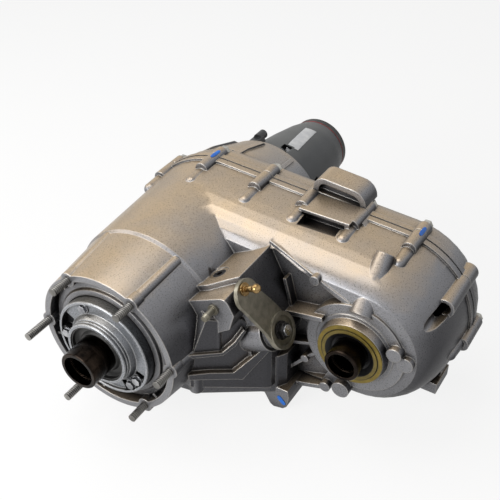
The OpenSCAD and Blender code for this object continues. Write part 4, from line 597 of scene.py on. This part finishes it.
class TRANSFER_OT_stage(bpy.types.Operator):
    """Makes the pale floor, the soft studio lights, the white surroundings and the camera"""
    bl_idname = "transfer.stage"
    bl_label = "Stage"

    def execute(self, context):
        s = context.scene.transfer_stage
        scene = context.scene
        scene.view_settings.view_transform = "Standard"
        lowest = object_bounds()[0].z
        mesh = bmesh.new()
        bmesh.ops.create_grid(mesh, x_segments=1, y_segments=1, size=FLOOR_REACH,
                              matrix=Matrix.Translation((*FLOOR_CENTRE, lowest - FLOOR_GAP)))
        data = bpy.data.meshes.new("studio_floor")
        mesh.to_mesh(data)
        mesh.free()
        floor = bpy.data.objects.new("studio_floor", data)
        scene.collection.objects.link(floor)
        floor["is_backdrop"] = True
        material = bpy.data.materials.new("pale_studio_floor")
        material.use_nodes = True
        tree = material.node_tree
        tree.nodes.clear()
        paint = add(tree, "BsdfDiffuse", None, {"Color": s.floor})
        glow = add(tree, "Emission", None, {"Color": colour("#FFFFFF"), "Strength": 1.0})
        path = add(tree, "LightPath")
        direct = add(tree, "Math", {"operation": "MULTIPLY"},
                     {0: path.outputs["Is Camera Ray"], 1: FLOOR_SEEN_WHITE})
        mirrored = add(tree, "Math", {"operation": "MAXIMUM"},
                       {0: path.outputs["Is Glossy Ray"], 1: path.outputs["Is Transmission Ray"]})
        mirrored = add(tree, "Math", {"operation": "MULTIPLY"},
                       {0: mirrored.outputs[0], 1: FLOOR_SEEN_GLOSSY})
        share = add(tree, "Math", {"operation": "MAXIMUM"}, {0: direct.outputs[0], 1: mirrored.outputs[0]})
        mix = add(tree, "MixShader", None, {0: share.outputs[0], 1: paint.outputs[0], 2: glow.outputs[0]})
        add(tree, "OutputMaterial", None, {"Surface": mix.outputs[0]})
        data.materials.append(material)

        world = bpy.data.worlds.new("white_surroundings")
        scene.world = world
        world.use_nodes = True
        tree = world.node_tree
        tree.nodes.clear()
        path = add(tree, "LightPath")
        seen = add(tree, "Math", {"operation": "MAXIMUM"},
                   {0: path.outputs["Is Camera Ray"], 1: path.outputs["Is Glossy Ray"]})
        seen = add(tree, "Math", {"operation": "MAXIMUM"},
                   {0: seen.outputs[0], 1: path.outputs["Is Transmission Ray"]})
        level = add(tree, "MapRange", None,
                    {"Value": seen.outputs[0], "To Min": WORLD_ON_CASE, "To Max": 1.0})
        light = add(tree, "Background", None,
                    {"Color": colour("#FFFFFF"), "Strength": level.outputs["Result"]})
        add(tree, "OutputWorld", None, {"Surface": light.outputs[0]})

        for name, place, size, power in (
                ("top_light", (-0.35, 0.1, 1.35), 1.0, s.key_power),
                ("front_light", (-0.35, -1.2, 0.55), 0.9, s.fill_power),
                ("left_light", (-1.2, -0.3, 0.8), 0.8, s.fill_power * LEFT_SHARE)):
            lamp = bpy.data.lights.new(name, "AREA")
            lamp.shape = "SQUARE"
            lamp.size = size
            lamp.energy = power
            stand = bpy.data.objects.new(name, lamp)
            scene.collection.objects.link(stand)
            stand.location = place
            stand.rotation_euler = (Vector(LAMP_AIM) - Vector(place)).to_track_quat("-Z", "Y").to_euler()

        lens = bpy.data.cameras.new("photo_camera")
        lens.sensor_width = SENSOR_MM
        lens.lens = LENS_MM
        camera = bpy.data.objects.new("photo_camera", lens)
        scene.collection.objects.link(camera)
        right = Vector(CAMERA_RIGHT).normalized()
        ahead = Vector(CAMERA_AHEAD).normalized()
        ahead = (ahead - right * ahead.dot(right)).normalized()
        turn = Matrix((right, right.cross(ahead), -ahead)).transposed()
        camera.matrix_world = Matrix.Translation(CAMERA_PLACE) @ turn.to_4x4()
        scene.camera = camera
        return {"FINISHED"}


class TRANSFER_PT_panel(bpy.types.Panel):
    """Lists the settings and the pieces"""
    bl_idname = "TRANSFER_PT_panel"
    bl_label = "Transfer case"
    bl_space_type = "VIEW_3D"
    bl_region_type = "UI"
    bl_category = "Transfer case"

    def draw(self, context):
        for settings in (context.scene.transfer_casting, context.scene.transfer_stage):
            for name in settings.bl_rna.properties.keys():
                if name not in ("rna_type", "name"):
                    self.layout.prop(settings, name)
        for operator in OPERATORS:
            self.layout.operator(operator.bl_idname)


SETTINGS = (CastingSettings, StageSettings)
OPERATORS = (TRANSFER_OT_castings, TRANSFER_OT_shafts, TRANSFER_OT_fasteners, TRANSFER_OT_seals,
             TRANSFER_OT_marks, TRANSFER_OT_stage)


def register():
    for item in SETTINGS + OPERATORS + (TRANSFER_PT_panel,):
        bpy.utils.register_class(item)
    bpy.types.Scene.transfer_casting = bpy.props.PointerProperty(type=CastingSettings)
    bpy.types.Scene.transfer_stage = bpy.props.PointerProperty(type=StageSettings)


def unregister():
    del bpy.types.Scene.transfer_casting
    del bpy.types.Scene.transfer_stage
    for item in reversed(SETTINGS + OPERATORS + (TRANSFER_PT_panel,)):
        bpy.utils.unregister_class(item)


def main():
    register()
    bpy.ops.transfer.castings()
    bpy.ops.transfer.shafts()
    bpy.ops.transfer.fasteners()
    bpy.ops.transfer.seals()
    bpy.ops.transfer.marks()
    bpy.ops.transfer.stage()


if __name__ == "__main__":
    main()
